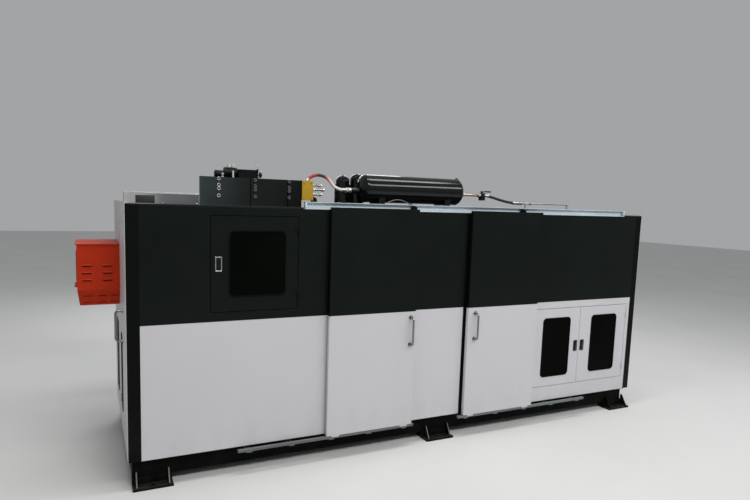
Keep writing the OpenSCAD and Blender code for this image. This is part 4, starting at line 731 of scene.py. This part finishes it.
sleeve = keep_model(ferrule(14.5, 34, 4))
ends = [(HOSE_END[0] - 33, TANK_Y, PORT_Z), (VALVE_X + 31, TANK_Y, PORT_Z), (TUBE_X - 33, TANK_Y, TUBE_Z)]
dress(copies(sleeve, "hose_ferrules", ends, RIGHT), "cabinet", zinc)
print("ferrules:", len(ends))

# %% [markdown]
# Screws are noticed second, after the big forms: the socket screws down the clamp tower, the anchors
# on the feet, and the small heads that hold the sheets. One of each kind is modelled and then copied.
# A boolean cuts the sockets, which an inset and an extrusion would do too, with more steps.

# %% Models of fasteners


def socket_screw(radius, height):
    """Cylinder head with a hexagon socket, standing on the frame's origin"""
    head = stub("socket screw", radius, height)
    socket = stub("socket", radius * 0.6, height, 6, height * 0.25)
    modify(head, "BOOLEAN", object=socket, operation="DIFFERENCE", solver="EXACT")
    bpy.data.objects.remove(socket)
    return keep_model(soften(head, radius * 0.08, 1))


def hex_bolt(radius, height, washer=2.5):
    """Hexagon head on a washer, standing on the frame's origin"""
    head = soften(stub("hex head", radius, height, 6, washer), radius * 0.08, 2)
    plate = soften(stub("washer", radius * 1.5, washer), 0.3, 1)
    return keep_model(join("hex bolt", [head, plate]))


def button_screw(radius):
    """Low round head, seen only as a small dot"""
    clear()
    bpy.ops.mesh.primitive_uv_sphere_add(segments=12, ring_count=8, radius=radius / 1000)
    head = settle(bpy.context.object, "button screw")
    head.data.transform(Matrix.Diagonal((1, 1, 0.5, 1)))
    return keep_model(smooth(head))


big_screw, middle_screw, small_screw = socket_screw(13, 6), socket_screw(8, 7), socket_screw(5, 4)
anchor_bolt, nut, bar_nut = hex_bolt(13, 12), hex_bolt(9, 7, 2), hex_bolt(24, 16, 4)
dot_screw = button_screw(4)
grime = keep_model(soften(stub("grime", 6.6, 3, 18, 1.4), 0.4, 1))
print("models of fasteners:", len(MODELS))

# %% [markdown]
# The tower's screws run down three columns. Those at its left edge shine and the others get a darker
# zinc, painted shade away from the light that grazes the tower's left edge, and a black disc in every
# socket is painted shade in its hollow. It is a piece of its own, so that the heads keep one finish.
# The bolts of the feet were painted over.

# %% Screws on the tower and the feet


def fasten(model, name, places, turn, body="cabinet", finish=zinc):
    print(name, len(places))
    dress(copies(model, name, places, turn), body, finish)


CLAMP_Y = 250
TOWER_XS, TOWER_ZS = (625, 883, 1136), (1922, 1970, 1994, 2038)
fasten(big_screw, "tower_screws_left", [(TOWER_XS[0], CLAMP_Y, z) for z in TOWER_ZS], FRONT)
# The middle and right columns get a darker zinc: painted shade away from the light on the tower's left edge.
fasten(big_screw, "tower_screws", [(x, CLAMP_Y, z) for x in TOWER_XS[1:] for z in TOWER_ZS], FRONT,
       finish=dull_zinc)
# Black discs in the sockets: painted shade in the hollow of each socket.
dress(copies(grime, "screw_grime", [(x, CLAMP_Y, z) for x in TOWER_XS for z in TOWER_ZS], FRONT), "cabinet",
      black_rubber)
FOOT_X, FOOT_TOP = (26, 2245, 4290), 15
fasten(anchor_bolt, "anchor_bolts",
       [(x + 127, y, FOOT_TOP) for x in FOOT_X for y in (18, BODY_D - 18)], UP, finish=frame_black)
fasten(nut, "levelling_screws",
       [(x + d, y, FOOT_TOP) for x in FOOT_X for d in (52, 202) for y in (22, BODY_D - 22)], UP,
       finish=frame_black)

# %% [markdown]
# Small round heads hold the sheets along their edges. They are nearly too small to see, but without
# them a wall of sheets looks like one smooth block. Each is a coarse dome, because there are
# hundreds, and one list of places makes the screws of a whole wall.

# %% Sheet screws
MARGIN = 25     # from the edge of a wall or roof sheet to its screws
rear_edges = [2, 1365, 2065, 2576, 3276, 4528]     # where one rear sheet ends and the next begins
rear_dots = [(x, BODY_D, z) for left, far in zip(rear_edges, rear_edges[1:])
             for z in (215, 640, 1065, 1105, 1465, 1825) for x in (left + 22, (left + far) / 2, far - 22)]
fasten(dot_screw, "rear_screws", rear_dots, BACK)
wall_dots = [(0, y, z) for y in (MARGIN, BODY_D - MARGIN) for z in range(230, ROOF_Z, 320)]
wall_dots += [(0, y, z) for z in (215, 1840) for y in range(200, 1400, 240)]
fasten(dot_screw, "left_wall_screws", wall_dots, LEFT)
fasten(dot_screw, "right_wall_screws", [(BODY_L, y, z) for x, y, z in wall_dots], RIGHT)
roof_dots = [(x, y, ROOF_Z) for x in range(1300, 4500, 400) for y in (60, BODY_D - MARGIN)]
roof_dots += [(x, BODY_D - MARGIN, ROOF_Z) for x in range(60, 1240, 280)]
fasten(dot_screw, "roof_screws", roof_dots, UP)
RAIL_TOP, COVER_FACE, CONSOLE_TOP = 1895, 40, 1558
fasten(small_screw, "rail_screws", [(x, 22, RAIL_TOP) for x in range(1210, 4290, 220)], UP)
fasten(dot_screw, "cover_screws", [(x, COVER_FACE, z) for x in (14, 230, 440) for z in (1862, 1920)], FRONT)
fasten(dot_screw, "lid_screws", [(x, y, CONSOLE_TOP) for x in (-270, -150, -30) for y in (660, 1120)], UP)

# %% [markdown]
# Hinges are held by screws too. Those on a door ride with the door and the others stay on the cabinet,
# so each set is one piece on its own body. Their places are counted from the hinge line, which keeps
# them on the leaves. Their heads were sprayed with the sheets.

# %% Hinge screws
HINGE_PROUD = -2.5      # face of the hinge leaves, in front of the sheets
WINDOW_HINGE = (1128, 1150, 638)      # the hinge line, the door's lower edge and its height
SERVICE_LEFT, SERVICE_RIGHT = (3298, 325, 697), (4420, 325, 697)


def hinge_rows(line, side, moving):
    """Screw places on one leaf of a door's two hinges; side is 1 to the right of the line"""
    x, z, h = line
    lift = 30 if moving else 0
    return [(x + side * 18, HINGE_PROUD, low + lift + d) for low in (z + 70, z + h - 130) for d in (8, 22)]


fasten(dot_screw, "window_hinge_screws", hinge_rows(WINDOW_HINGE, 1, False), FRONT, finish=frame_black)
fasten(dot_screw, "window_leaf_screws", hinge_rows(WINDOW_HINGE, -1, True), FRONT, "window_leaf",
       finish=frame_black)
fixed_rows = hinge_rows(SERVICE_LEFT, -1, False) + hinge_rows(SERVICE_RIGHT, 1, False)
fasten(dot_screw, "service_hinge_screws", fixed_rows, FRONT, finish=light_paint)
for side, line, way in (("left", SERVICE_LEFT, 1), ("right", SERVICE_RIGHT, -1)):
    fasten(dot_screw, f"service_{side}_screws", hinge_rows(line, way, True), FRONT, "service_leaf_" + side,
           finish=light_paint)
END_LINE = 642
end_rows = [(HINGE_PROUD, END_LINE + 18, low + d) for low in (395, 1595) for d in (8, 22)]
fasten(dot_screw, "end_hinge_screws", end_rows, LEFT)
fasten(dot_screw, "end_leaf_screws", [(x, END_LINE - 18, z + 30) for x, y, z in end_rows], LEFT, "end_leaf")

# %% [markdown]
# The pull handles stand on small chrome discs: one low cylinder with a rounded rim, copied to both
# ends of each handle. Each sliding door hangs from one roller in a bracket, and the screws and the
# axle nut of that bracket ride with the door.

# %% Handles and roller brackets
HANDLE_REACH = 105      # half the distance between a handle's two discs
rosette = keep_model(soften(stub("rosette", 14.5, 4, 28), 1.2, 2))
for name, body, (x, y, z), turn in (("door_1_rosettes", "sliding_1", (2031, DOOR_FRONT, 934), FRONT),
                                    ("door_2_rosettes", "sliding_2", (2634, DOOR_FRONT, 934), FRONT),
                                    ("end_door_rosettes", "end_leaf", (0, 360, 1019), LEFT)):
    discs = [(x, y, z + d) for d in (-HANDLE_REACH, HANDLE_REACH)]
    dress(copies(rosette, name, discs, turn), body, chrome)
BRACKET_FACE = -15
for body, x in (("sliding_1", 2049), ("sliding_2", 3105)):
    pair = [(x + d, BRACKET_FACE, 1852) for d in (-13, 13)]
    fasten(small_screw, body + "_bracket_screws", pair, FRONT, body, finish=frame_black)
    fasten(nut, body + "_axle_nut", [(x, BRACKET_FACE, 1869.3)], FRONT, body, finish=frame_black)
LOW_RAILS = ((705, 2093), (2518, 3912))      # left and right end of each lower rail
arms = [(x0 + 80 + i * (x1 - x0 - 160) / 4, -12, 166) for x0, x1 in LOW_RAILS for i in range(5)]
fasten(small_screw, "rail_arm_screws", arms, UP, finish=dull_zinc)

# %% [markdown]
# A window needs a rubber seal between the sheet and the dark pane. The seal is a flat ring with round
# corners: a plane whose corners are rounded, inset, and given a thickness. A hole cut in a rounded
# block would do too, but the inset keeps the ring equally wide all round.

# %% A flat ring


def rim(name, w, h, radius, width, thick, turn, place, body, slot, finish):
    """Flat ring, half of its width on each side of a line w by h, drawn flat and then set on the sheet"""
    clear()
    bpy.ops.mesh.primitive_plane_add(size=1)
    obj = bpy.context.object
    obj.scale = ((w + 2 * width) / 1000, (h + 2 * width) / 1000, 1)
    settle(obj, name)
    bpy.ops.object.mode_set(mode="EDIT")
    bpy.ops.mesh.select_all(action="SELECT")
    bpy.ops.mesh.bevel(offset=(radius + width) / 1000, segments=8, affect="VERTICES")
    bpy.ops.mesh.select_all(action="SELECT")
    bpy.ops.mesh.inset(thickness=2 * width / 1000)
    bpy.ops.mesh.delete(type="FACE")
    bpy.ops.object.mode_set(mode="OBJECT")
    modify(obj, "SOLIDIFY", thickness=thick / 1000, offset=1.0)
    soften(obj, thick * 0.35, 2)
    obj.data.transform(Matrix.Translation(at(*place)) @ turn)
    dress(obj, body, finish)


print("helper:", rim.__name__)

# %% [markdown]
# Each seal rides on the door or the wall whose pane it holds. The same ring, made smaller, is the rim
# of each flush latch, of the lock and of the touch screen.

# %% Window seals and latch rims
END = Matrix.Rotation(math.radians(-90), 4, "Z") @ FRONT
WINDOW_R = 32
SEALS = (("window_seal", 390, 440, FRONT, (840, 0, 1470), "window_leaf"),
         ("service_seal_left", 312, 524, FRONT, (3566, 0, 674), "service_leaf_left"),
         ("service_seal_right", 312, 524, FRONT, (4140, 0, 674), "service_leaf_right"),
         ("end_door_seal", 160, 550, END, (0, 515, 655), "end_leaf"),
         ("end_wall_seal", 250, 550, END, (0, 1055, 655), "cabinet"))
for name, w, h, turn, place, body in SEALS:
    rim(name, w, h, WINDOW_R, 5, 3, turn, place, body, "black_plastic", seal_rubber)
for side, x in (("left", 3800), ("right", 3880)):
    rim("latch_rim_" + side, 39, 93, 4, 3.5, 1.8, FRONT, (x, -1.5, 669), "service_leaf_" + side,
        "black_plastic", black_plastic)
rim("lock_rim", 38, 92, 4, 3, 1.2, FRONT, (574, -1.5, 1471), "window_leaf", "chrome", chrome)
rim("screen_rim", 292, 202, 6, 6, 1.5, END, (-284, 890, 1391), "cabinet", "black_plastic", black_plastic)
print("seals:", len(SEALS), "and four rims")

# %% [markdown]
# Every louvre of the console has a low hood above its slot that keeps drips out. The hood starts as a
# cube whose lower front edge is pulled out, which makes a wedge, and its edges are rounded. The stop
# button gets a dark collar with a round lip.

# %% Louvre hoods
clear()
bpy.ops.mesh.primitive_cube_add(size=1)
hood = bpy.context.object
hood.scale = (0.064, 0.003, 0.009)
settle(hood, "hood")
for vertex in hood.data.vertices:
    if vertex.co.y < 0 and vertex.co.z < 0:
        vertex.co.y -= 0.004
keep_model(soften(hood, 1.0, 2))
CONSOLE_Y, CONSOLE_Z, SLOPE_H, SLOPE_IN = 650, 1106, 122, 90
upper = [(x + 29, CONSOLE_Y - 1, CONSOLE_Z + 186 + i * 51 + 13) for x in (-246, -110) for i in range(3)]
slope = Matrix.Rotation(math.atan2(SLOPE_IN, SLOPE_H), 4, "X")
lower = [(x + 29, CONSOLE_Y + SLOPE_IN * (1 - rise / SLOPE_H) - 1, CONSOLE_Z + rise)
         for x in (-242, -148, -62) for rise in (35, 86)]
dress(copies(hood, "louvre_hoods_upper", upper), "cabinet", orange_paint)
dress(copies(hood, "louvre_hoods_lower", lower, slope), "cabinet", orange_paint)
STOP = (1040, 1216)      # y and z of the stop button
collar = [rod("collar", (-281, *STOP), (-289, *STOP), 19, 36, 1.0),
          ring("collar lip", (-288.5, *STOP), (1, 0, 0), 18, 1.6)]
fit("stop_collar", collar, black_plastic)
print("hoods:", len(upper) + len(lower))

# %% [markdown]
# The air tank was welded from a rolled shell and two dished ends, and the beads of those welds show.
# A bead stands out at the tank's outline, where a bump would stay flat, so each is a thin ring half
# sunk in the shell. A drain plug hangs below, and a brown cap closes the port on the right shoulder.

# %% Air tank
welds = [ring("weld", (x, TANK_Y, TANK_Z), (1, 0, 0), TANK_R, 2.2, 72, 8)
         for x in (TANK_X + 48, TANK_X + TANK_L - 48)]
SEAM = (TANK_Y + 60, TANK_Z + 86.5)
welds.append(rod("seam", (TANK_X + 50, *SEAM), (TANK_X + TANK_L - 50, *SEAM), 2.2, 10, 0.3))
welds += [ring("boss weld", (x, TANK_Y, PORT_Z), (1, 0, 0), 23, 2.0, 40, 8)
          for x in (TANK_X + 3, TANK_X + TANK_L - 3)]
fit("tank_welds", welds, tank_black)
DRAIN_X, CAP_X = 2132, 2560
drain = [rod("drain boss", (DRAIN_X, TANK_Y, TANK_Z - 116), (DRAIN_X, TANK_Y, TANK_Z - 100), 16, 28),
         rod("drain plug", (DRAIN_X, TANK_Y, TANK_Z - 126), (DRAIN_X, TANK_Y, TANK_Z - 115), 12, 6)]
fit("tank_drain", drain, zinc)
cap = [rod("cap", (CAP_X, TANK_Y, TANK_Z + 78), (CAP_X, TANK_Y, TANK_Z + 108), 15, 24, 2.0),
       rod("cap grip", (CAP_X, TANK_Y, TANK_Z + 106), (CAP_X, TANK_Y, TANK_Z + 116), 9, 6, 1.0)]
fit("tank_cap", cap, brown_plastic)
print("tank: 5 welds, a drain and a cap")

# %% [markdown]
# Two black filters stand behind the tank's left end on one bracket, each with a clamping ring, a foot
# ring and a top nut. The rings are sunk half into the bowls, since only their outer side shows.

# %% Filters
FILTERS, FILTER_Y = ((1610, 2108), (1732, 2125)), 364      # x and top of each filter
rings, top_nuts = [], []
for x, top in FILTERS:
    rings.append(ring("clamp ring", (x, FILTER_Y, top - 44), (0, 0, 1), 53.0, 2.2, 56))
    rings.append(ring("foot ring", (x, FILTER_Y, 1887), (0, 0, 1), 52, 3.5, 56))
    top_nuts.append(rod("top nut", (x, FILTER_Y, top - 2), (x, FILTER_Y, top + 7), 11, 6, 0.8))
rings.append(block("bracket", (1545, 1790), (360, 372), (1856, 2040), 3.0))
fit("filter_rings", rings, tank_black)
fit("filter_nuts", top_nuts, zinc)
print("filters:", len(FILTERS))

# %% [markdown]
# Pipe fittings read as fittings because of their hexagons and threads. Each hexagon is a six-sided
# cylinder. A real thread is a spiral, but a row of thin rings looks the same at this size and is
# closed without any care for its ends.

# %% Hexagons and threads
STUD_Y = 285      # the yellow block's three studs
nuts = []
for z, first in ((2019, 20), (1988, 42), (1952, 22)):
    nuts.append(rod("hexagon", (MANIFOLD_FACE + 2, STUD_Y, z), (MANIFOLD_FACE + 14, STUD_Y, z), 15, 6, 1.0))
    far = MANIFOLD_FACE + first + 40
    nuts.append(rod("end hexagon", (far, STUD_Y, z), (far + 12, STUD_Y, z), 14, 6, 1.0))
    nuts += [ring("thread", (far - 36 + 4 * k, STUD_Y, z), (1, 0, 0), 8.2, 1.0, 20, 6) for k in range(8)]
LINE_NUTS = ((HOSE_END[0] + 4, PORT_Z, 20, 21, 1.2), (2612, PORT_Z, 18, 18.5, 1.2),
             (VALVE_X - 44, PORT_Z, 16, 19, 1.2), (TUBE_X + 30, TUBE_Z, 16, 17, 1.0),
             (TUBE_X + 60, TUBE_Z, 16, 16, 1.0), (TUBE_X + 160, TUBE_Z, 16, 15, 1.0))
nuts += [rod("line nut", (x, TANK_Y, z), (x + length, TANK_Y, z), radius, 6, round_off)
         for x, z, length, radius, round_off in LINE_NUTS]
fit("line_nuts", nuts, zinc)
print("pieces with a hexagon or a thread:", len(nuts))

# %% [markdown]
# A copper pipe leads from the tank to a black ball valve, whose lever lies along the line while it is
# open. The yellow block has four screws in its own paint, and a black elbow takes its drain to the
# roof. The elbow's round body is a ring with hardly any hole, which saves bending a pipe.

# %% Pipe, ball valve and elbow
pipe = [rod("pipe", (2638, TANK_Y, PORT_Z), (VALVE_X - 30, TANK_Y, PORT_Z), 10.8, 32, 0.4),
        ring("solder", (2642, TANK_Y, PORT_Z), (1, 0, 0), 11, 2.0, 32),
        ring("solder", (VALVE_X - 46, TANK_Y, PORT_Z), (1, 0, 0), 11, 2.0, 32)]
fit("copper_sleeve", pipe, copper)
valve = [rod("bonnet", (VALVE_X, TANK_Y, PORT_Z + 19), (VALVE_X, TANK_Y, PORT_Z + 34), 12, 6, 1.0),
         block("lever", (VALVE_X - 12, VALVE_X + 84), (TANK_Y - 9, TANK_Y + 9), (PORT_Z + 30, PORT_Z + 35),
               2.0),
         block("lever grip", (VALVE_X + 30, VALVE_X + 88), (TANK_Y - 11, TANK_Y + 11),
               (PORT_Z + 27, PORT_Z + 38), 4.0, 3),
         rod("body shell", (VALVE_X, TANK_Y, PORT_Z - 43), (VALVE_X, TANK_Y, PORT_Z + 21), 27, 36, 5.0)]
fit("ball_valve_cover", valve, black_plastic)
fasten(small_screw, "manifold_screws", [(x, 240, z) for x in (1248, 1305) for z in (1922, 2034)], FRONT,
       finish=yellow_paint)
ELBOW_Y = 262
elbow = [ring("elbow", (1334, ELBOW_Y, 1908), (0, 1, 0), 13, 12.4, 32, 16),
         rod("elbow end", (1346, ELBOW_Y, 1904), (1346, ELBOW_Y, 1856), 12, 24)]
fit("manifold_elbow", elbow, black_plastic)
print("air line: pipe, valve and elbow")

# %% [markdown]
# The rack drive on the tower has a finned motor, two pale plugs for its cables, a short air pipe in
# front and a small valve at its right side. Fins show their gaps at the motor's outline, so they are
# thin discs side by side and no bump.

# %% Rack drive
MID_Y, DRIVE_Y = 725, 655      # middle line of the machine, and of the valve on the drive
GEAR_X, MOTOR_Z, BELL_Z = 860.5, 2102, 2090
PLUG_Y, AIR_PIPE = 705, (814, 636)      # AIR_PIPE is the pipe's x and y
fins = [rod("fin", (x, MID_Y, MOTOR_Z), (x - 4, MID_Y, MOTOR_Z), 45, 40, 0.6)
        for x in [GEAR_X - 14 - 9 * i for i in range(9)]]
fins.append(rod("end bell", (696.5, MID_Y, BELL_Z), (690, MID_Y, BELL_Z), 27, 36, 3.0))
fins.append(ring("bell ring", (700, MID_Y, BELL_Z), (1, 0, 0), 30, 2.2, 44))
fit("motor_fins", fins, black_paint)
pale = []
for x in (828.2, 795.8):
    pale.append(rod("plug", (x, PLUG_Y, 2140), (x, PLUG_Y, 2170), 12, 24, 3.0))
    pale.append(ring("plug ring", (x, PLUG_Y, 2146), (0, 0, 1), 12, 1.6, 28))
pale += [rod("sensor", (745, 700, z), (745, 683, z), 9, 24, 2.0) for z in (2069, 2091)]
pale.append(rod("air pipe", (*AIR_PIPE, 1856), (*AIR_PIPE, 2116), 7, 20, 1.5))
pale.append(ring("pipe ring", (*AIR_PIPE, 2062), (0, 0, 1), 8, 2.5, 24))
pale.append(rod("valve stem", (1020, DRIVE_Y, 2066), (1020, DRIVE_Y, 2112), 8, 20, 1.5))
pale.append(ring("valve ring", (1008, DRIVE_Y, 2152), (0, 1, 0), 12, 4, 28))
pale.append(rod("valve cap", (1032, DRIVE_Y, 2110), (1032, DRIVE_Y, 2124), 9, 20, 2.0))
fit("drive_plugs", pale, grey_plastic)
dark = [rod("valve body", (1030, DRIVE_Y, 2072), (1030, DRIVE_Y, 2112), 13, 28, 2.0),
        rod("valve arm", (1008, DRIVE_Y, 2092), (1046, DRIVE_Y, 2092), 9, 24, 2.0),
        rod("valve foot", (1010, DRIVE_Y, 2104), (1010, DRIVE_Y, 2141), 7, 20, 1.0)]
fit("drive_valve", dark, black_plastic)
fasten(small_screw, "gear_screws", [(x, 650, z) for x in (872, 999) for z in (2062, 2118)], FRONT,
       finish=frame_black)

# %% [markdown]
# Inside the cabinet the clamp is full of hardware: nuts on the guide bars, a circle of bolts on each
# cylinder, screws that hold the mould halves, and a seal under each blow nozzle. The circle comes
# from sine and cosine, and each set rides on the body that it is screwed into.

# %% Clamp hardware
BAR_X, BAR_Z = (580, 1153), (990, 1290)
CLAMP_X, CYLINDER_Z, MOULD_PITCH = 866.5, 1185, 85
fasten(bar_nut, "bar_nuts_front", [(x, CLAMP_Y, z) for x in BAR_X for z in BAR_Z], FRONT)
fasten(bar_nut, "bar_nuts_rear", [(x, 1200, z) for x in BAR_X for z in BAR_Z], BACK)
circle = [(CLAMP_X + 50 * math.cos(a), CYLINDER_Z + 50 * math.sin(a))
          for a in [math.pi / 8 + k * math.pi / 4 for k in range(8)]]
fasten(middle_screw, "cylinder_bolts_front", [(x, 100, z) for x, z in circle], FRONT)
fasten(middle_screw, "cylinder_bolts_rear", [(x, 1350, z) for x, z in circle], BACK)
mould_xs = [CLAMP_X + (i - 2.5) * MOULD_PITCH for i in range(6)]
for side, y, turn in (("front", 515, FRONT), ("rear", 935, BACK)):
    fasten(middle_screw, "platen_screws_" + side, [(x, y, z) for x in mould_xs for z in (1060, 1310)], turn,
           "clamp_half_" + side)
nozzle_seals = [ring("nozzle seal", (x, MID_Y, 1354), (0, 0, 1), 15, 2.0, 32) for x in mould_xs]
fit("nozzle_seals", nozzle_seals, seal_rubber, "blow_unit")
fasten(small_screw, "blow_head_screws", [(x + 42, 685, 1395) for x in mould_xs[:-1]], FRONT, "blow_unit")
fasten(small_screw, "stretch_screws", [(x + 42, 685, 1745) for x in mould_xs[:-1]], FRONT, "stretch_unit")

# %% [markdown]
# In the oven, quartz lamps sit in ceramic holders, seven above one another in each of seven modules.
# Two loops place them all, and twelve sides are enough for a tube as thin as that.

# %% Oven lamps
OVEN_X, MODULE_L, LANE, TABLE_Z = 1480, 235, 575, 960
LAMP_Y, LAMP_PITCH = LANE + 66, 45
tubes, holders = [], []
for x0 in [OVEN_X + module * MODULE_L for module in range(7)]:
    for z in [TABLE_Z + 40 + LAMP_PITCH * k for k in range(7)]:
        tubes.append(rod("lamp", (x0 + 24, LAMP_Y, z), (x0 + MODULE_L - 24, LAMP_Y, z), 6.6, 12, 0.6))
        holders += [block("holder", (x, x + 16), (LANE + 57, LANE + 74), (z - 9, z + 9), 1.5, 1)
                    for x in (x0 + 8, x0 + MODULE_L - 24)]
fit("lamp_tubes", tubes, quartz)
fit("lamp_holders", holders, ceramic)
print("lamps:", len(tubes))

# %% [markdown]
# The chain beside the oven is a long loop with two half circles. Every carrier on it has a spindle
# with two soft rings, which grip a preform from inside, and a small screw on top. A function walks
# round the loop and says where each carrier stands.

# %% Spindles on the chain
CHAIN_X, CHAIN_L, CHAIN_R, CHAIN_Z, CARRIERS = 1480, 2500, 150, 1400, 62
HALF_TURN = math.pi * CHAIN_R


def on_loop(s):
    """Place on the chain, s millimetres along it from the start of its front run"""
    if s < CHAIN_L:
        return CHAIN_X + s, MID_Y - CHAIN_R, CHAIN_Z
    if s < CHAIN_L + HALF_TURN:
        a = (s - CHAIN_L) / CHAIN_R
        return CHAIN_X + CHAIN_L + CHAIN_R * math.sin(a), MID_Y - CHAIN_R * math.cos(a), CHAIN_Z
    if s < 2 * CHAIN_L + HALF_TURN:
        return CHAIN_X + CHAIN_L - (s - CHAIN_L - HALF_TURN), MID_Y + CHAIN_R, CHAIN_Z
    a = (s - 2 * CHAIN_L - HALF_TURN) / CHAIN_R
    return CHAIN_X - CHAIN_R * math.sin(a), MID_Y + CHAIN_R * math.cos(a), CHAIN_Z


spots = [on_loop(i * 2 * (CHAIN_L + HALF_TURN) / CARRIERS) for i in range(CARRIERS)]
grip = keep_model(join("grip", [ring("grip ring", (ORIGIN.x, ORIGIN.y, z), (0, 0, 1), 11.2, 1.8, 20, 8)
                                for z in (-52, -40)]))
dress(copies(grip, "spindle_grips", spots), "cabinet", black_rubber)
fasten(small_screw, "carrier_screws", [(x, y, CHAIN_Z + 39) for x, y, z in spots], UP)

# %% [markdown]
# The switchgear behind the service doors gets a lever on every device and a row of small screws, so
# that it does not look like plain boxes when the doors stand open. Every third device is a wide one,
# and blocks with rounded edges are all that it takes.

# %% Switchgear
PLATE_X, DEVICE_Y, DEVICE_PITCH, ROW_Z, ROW_PITCH = 3366, 332, 94, 437.5, 220
levers, faces, terminals = [], [], []
for z in [ROW_Z + row * ROW_PITCH for row in range(3)]:
    for i in range(9):
        left = PLATE_X + 60 + i * DEVICE_PITCH
        width = DEVICE_PITCH * (0.83 if i % 3 == 0 else 0.57)
        middle = left + width / 2
        faces.append(block("face", (left + 5, left + width - 5), (326, DEVICE_Y), (z - 26, z + 26), 2.0))
        levers.append(block("lever", (middle - 5, middle + 5), (314, 327), (z - 8, z + 10), 2.0))
        terminals += [(left + width * share, DEVICE_Y, z + side) for share in (0.2, 0.5, 0.8)
                      for side in (-40, 40)]
fit("device_faces", faces, grey_plastic)
fit("device_levers", levers, black_plastic)
fasten(dot_screw, "terminal_screws", terminals, FRONT)

# %% [markdown]
# A rubber edge runs down each side of a sliding door's black sheet, and a painted one down its pale
# sheet. Steel stops end the top rail, rubber ones end the lower rails, and thin folded trims cover the
# edges of the end wall and of the cable cover. All are thin blocks, whose rounded edges catch a line
# of light that a bare sheet edge would not.

# %% Edges, stops and trims
DOOR_W = 716
for body, x in (("sliding_1", 1357), ("sliding_2", 2568)):
    for part, z, finish in (("_edges", (1086, 1850), seal_rubber), ("_low_edges", (200, 1084), light_paint)):
        edges = [block("edge", (side, side + 3), (-42, -18), z, 1.0, 2) for side in (x - 3, x + DOOR_W)]
        fit(body + part, edges, finish, body)
stops = [block("stop", (x, x + 14), (-3, 24), (1851, 1889), 3.0, 3) for x in (1172, 4284)]
fit("rail_stops", stops, rail_metal)
low_stops = [block("low stop", (x, x + 8), (-39, -21), (168, 186), 2.0, 2)
             for left, far in LOW_RAILS for x in (left - 8, far)]
fit("low_rail_stops", low_stops, black_rubber)
trim = [block("trim", (-1.5, 25), y, (ROOF_Z, ROOF_Z + 1.5), 0.5, 1) for y in ((0, 39), (131, BODY_D))]
trim.append(block("trim side", (-1.5, 0), (0, BODY_D), (1840, 1856), 0.5, 1))
fit("end_wall_trim", trim, end_paint)
lip = [block("lip", (2, COVER_L), (38.5, 40), (1919, 1927), 0.5, 1),
       block("lip top", (2, COVER_L), (38.5, 62), (1927, 1928), 0.4, 1)]
fit("cover_lip", lip, sheet_alloy)
# A black block in the opening of the cable cover: painted shade for the dark inside it.
liner = [block("liner", (62, 188), (43.4, 46), (1858.2, 1912), 1.0, 2)]
fit("cover_liner", liner, black_rubber)
print("edges, stops and trims done")

# %% [markdown]
# Weld beads run along the ribs of the feet, where a hand laid them: thin rods, half sunk in the
# corner. The ribs of the front feet get a pale strip along their slope, a painted highlight where
# light catches their edges. A flat block does that, because the finish of a foot covers all of it.

# %% Weld beads and painted highlights
beads = []
for x in FOOT_X:
    for d in (20, 30, 224, 234):
        beads.append(rod("bead", (x + d, -10, 15.5), (x + d, 58, 15.5), 3.0, 8, 0.5))
        beads.append(rod("bead", (x + d, BODY_D + 10, 15.5), (x + d, BODY_D - 58, 15.5), 3.0, 8, 0.5))
fit("foot_welds", beads, frame_black)
clear()
bpy.ops.mesh.primitive_cube_add(size=1)
scuff = bpy.context.object
scuff.scale = (0.008, 0.0012, 0.1)
settle(scuff, "scuff")
keep_model(soften(scuff, 0.4, 1))
rib_slope = Matrix.Rotation(-math.atan2(58, 95), 4, "X")     # runs from (-12, 15) back and up to (46, 110)
scuffs = [(x + d, 17, 62.5) for x in FOOT_X[:2] for d in (25, 229)]
# Pale strips along the slope of the ribs: painted highlight.
dress(copies(scuff, "rib_scuffs", scuffs, rib_slope), "cabinet", rib_highlight_paint)
print("beads:", len(beads), "scuffs:", len(scuffs))

# %% [markdown] The room is a plain pale studio.

# %% Floor
clear()
bpy.ops.mesh.primitive_plane_add(size=60, location=(0, 0, 0))
floor = bpy.context.object
floor.name = "studio_floor"
floor_finish = Finish("studio floor", 0.6)
clouds = floor_finish.noise(1.5, 3.0)
floor_finish.colour(floor_finish.ramp(clouds, [(0.3, (0.62, 0.62, 0.61)), (0.7, (0.66, 0.66, 0.65))]))
floor.data.materials.append(floor_finish.mat)
print("floor is part of the stage")

# %% [markdown]
# The light is soft: a key from above and left, a weaker fill from the right, two more lamps above and
# behind, and a pale world that fills the shadows. The lamps are long and narrow, so that the tank
# shows thin bright lines and the flat black sheets show none.

# %% Lamps and surroundings
world = bpy.data.worlds.new("studio")
bpy.context.scene.world = world
world.use_nodes = True
world.node_tree.nodes["Background"].inputs["Color"].default_value = (0.86, 0.88, 0.90, 1)
world.node_tree.nodes["Background"].inputs["Strength"].default_value = 0.42


def lamp(name, place, target, size, power, colour=(1, 1, 1)):
    """Soft rectangular lamp at a place in metres, aimed at a target"""
    data = bpy.data.lights.new(name, "AREA")
    data.shape = "RECTANGLE"
    data.size, data.size_y = size
    data.energy = power
    data.color = colour
    obj = bpy.data.objects.new(name, data)
    bpy.context.scene.collection.objects.link(obj)
    place, target = Vector(place), Vector(target)
    aim = (target - place).to_track_quat("-Z", "Y")
    obj.matrix_world = Matrix.Translation(place) @ aim.to_matrix().to_4x4()


lamp("key", (-0.8, -6.0, 5.9), (-0.3, 0, 0.9), (5, 0.7), 250, (1.0, 0.99, 0.97))
lamp("fill", (3.7, -5.2, 5.1), (1.0, 0, 0.8), (4.5, 1.0), 122)
lamp("overhead", (0, -1.4, 6.2), (0, 0.2, 0), (6, 1.1), 170)
lamp("back", (1.0, 6.0, 4.5), (0, 0, 1), (5, 3), 150)
bpy.context.scene.view_settings.view_transform = "Standard"
print("lamps: 4")

# %% Finish
for model in MODELS:
    bpy.data.objects.remove(model)
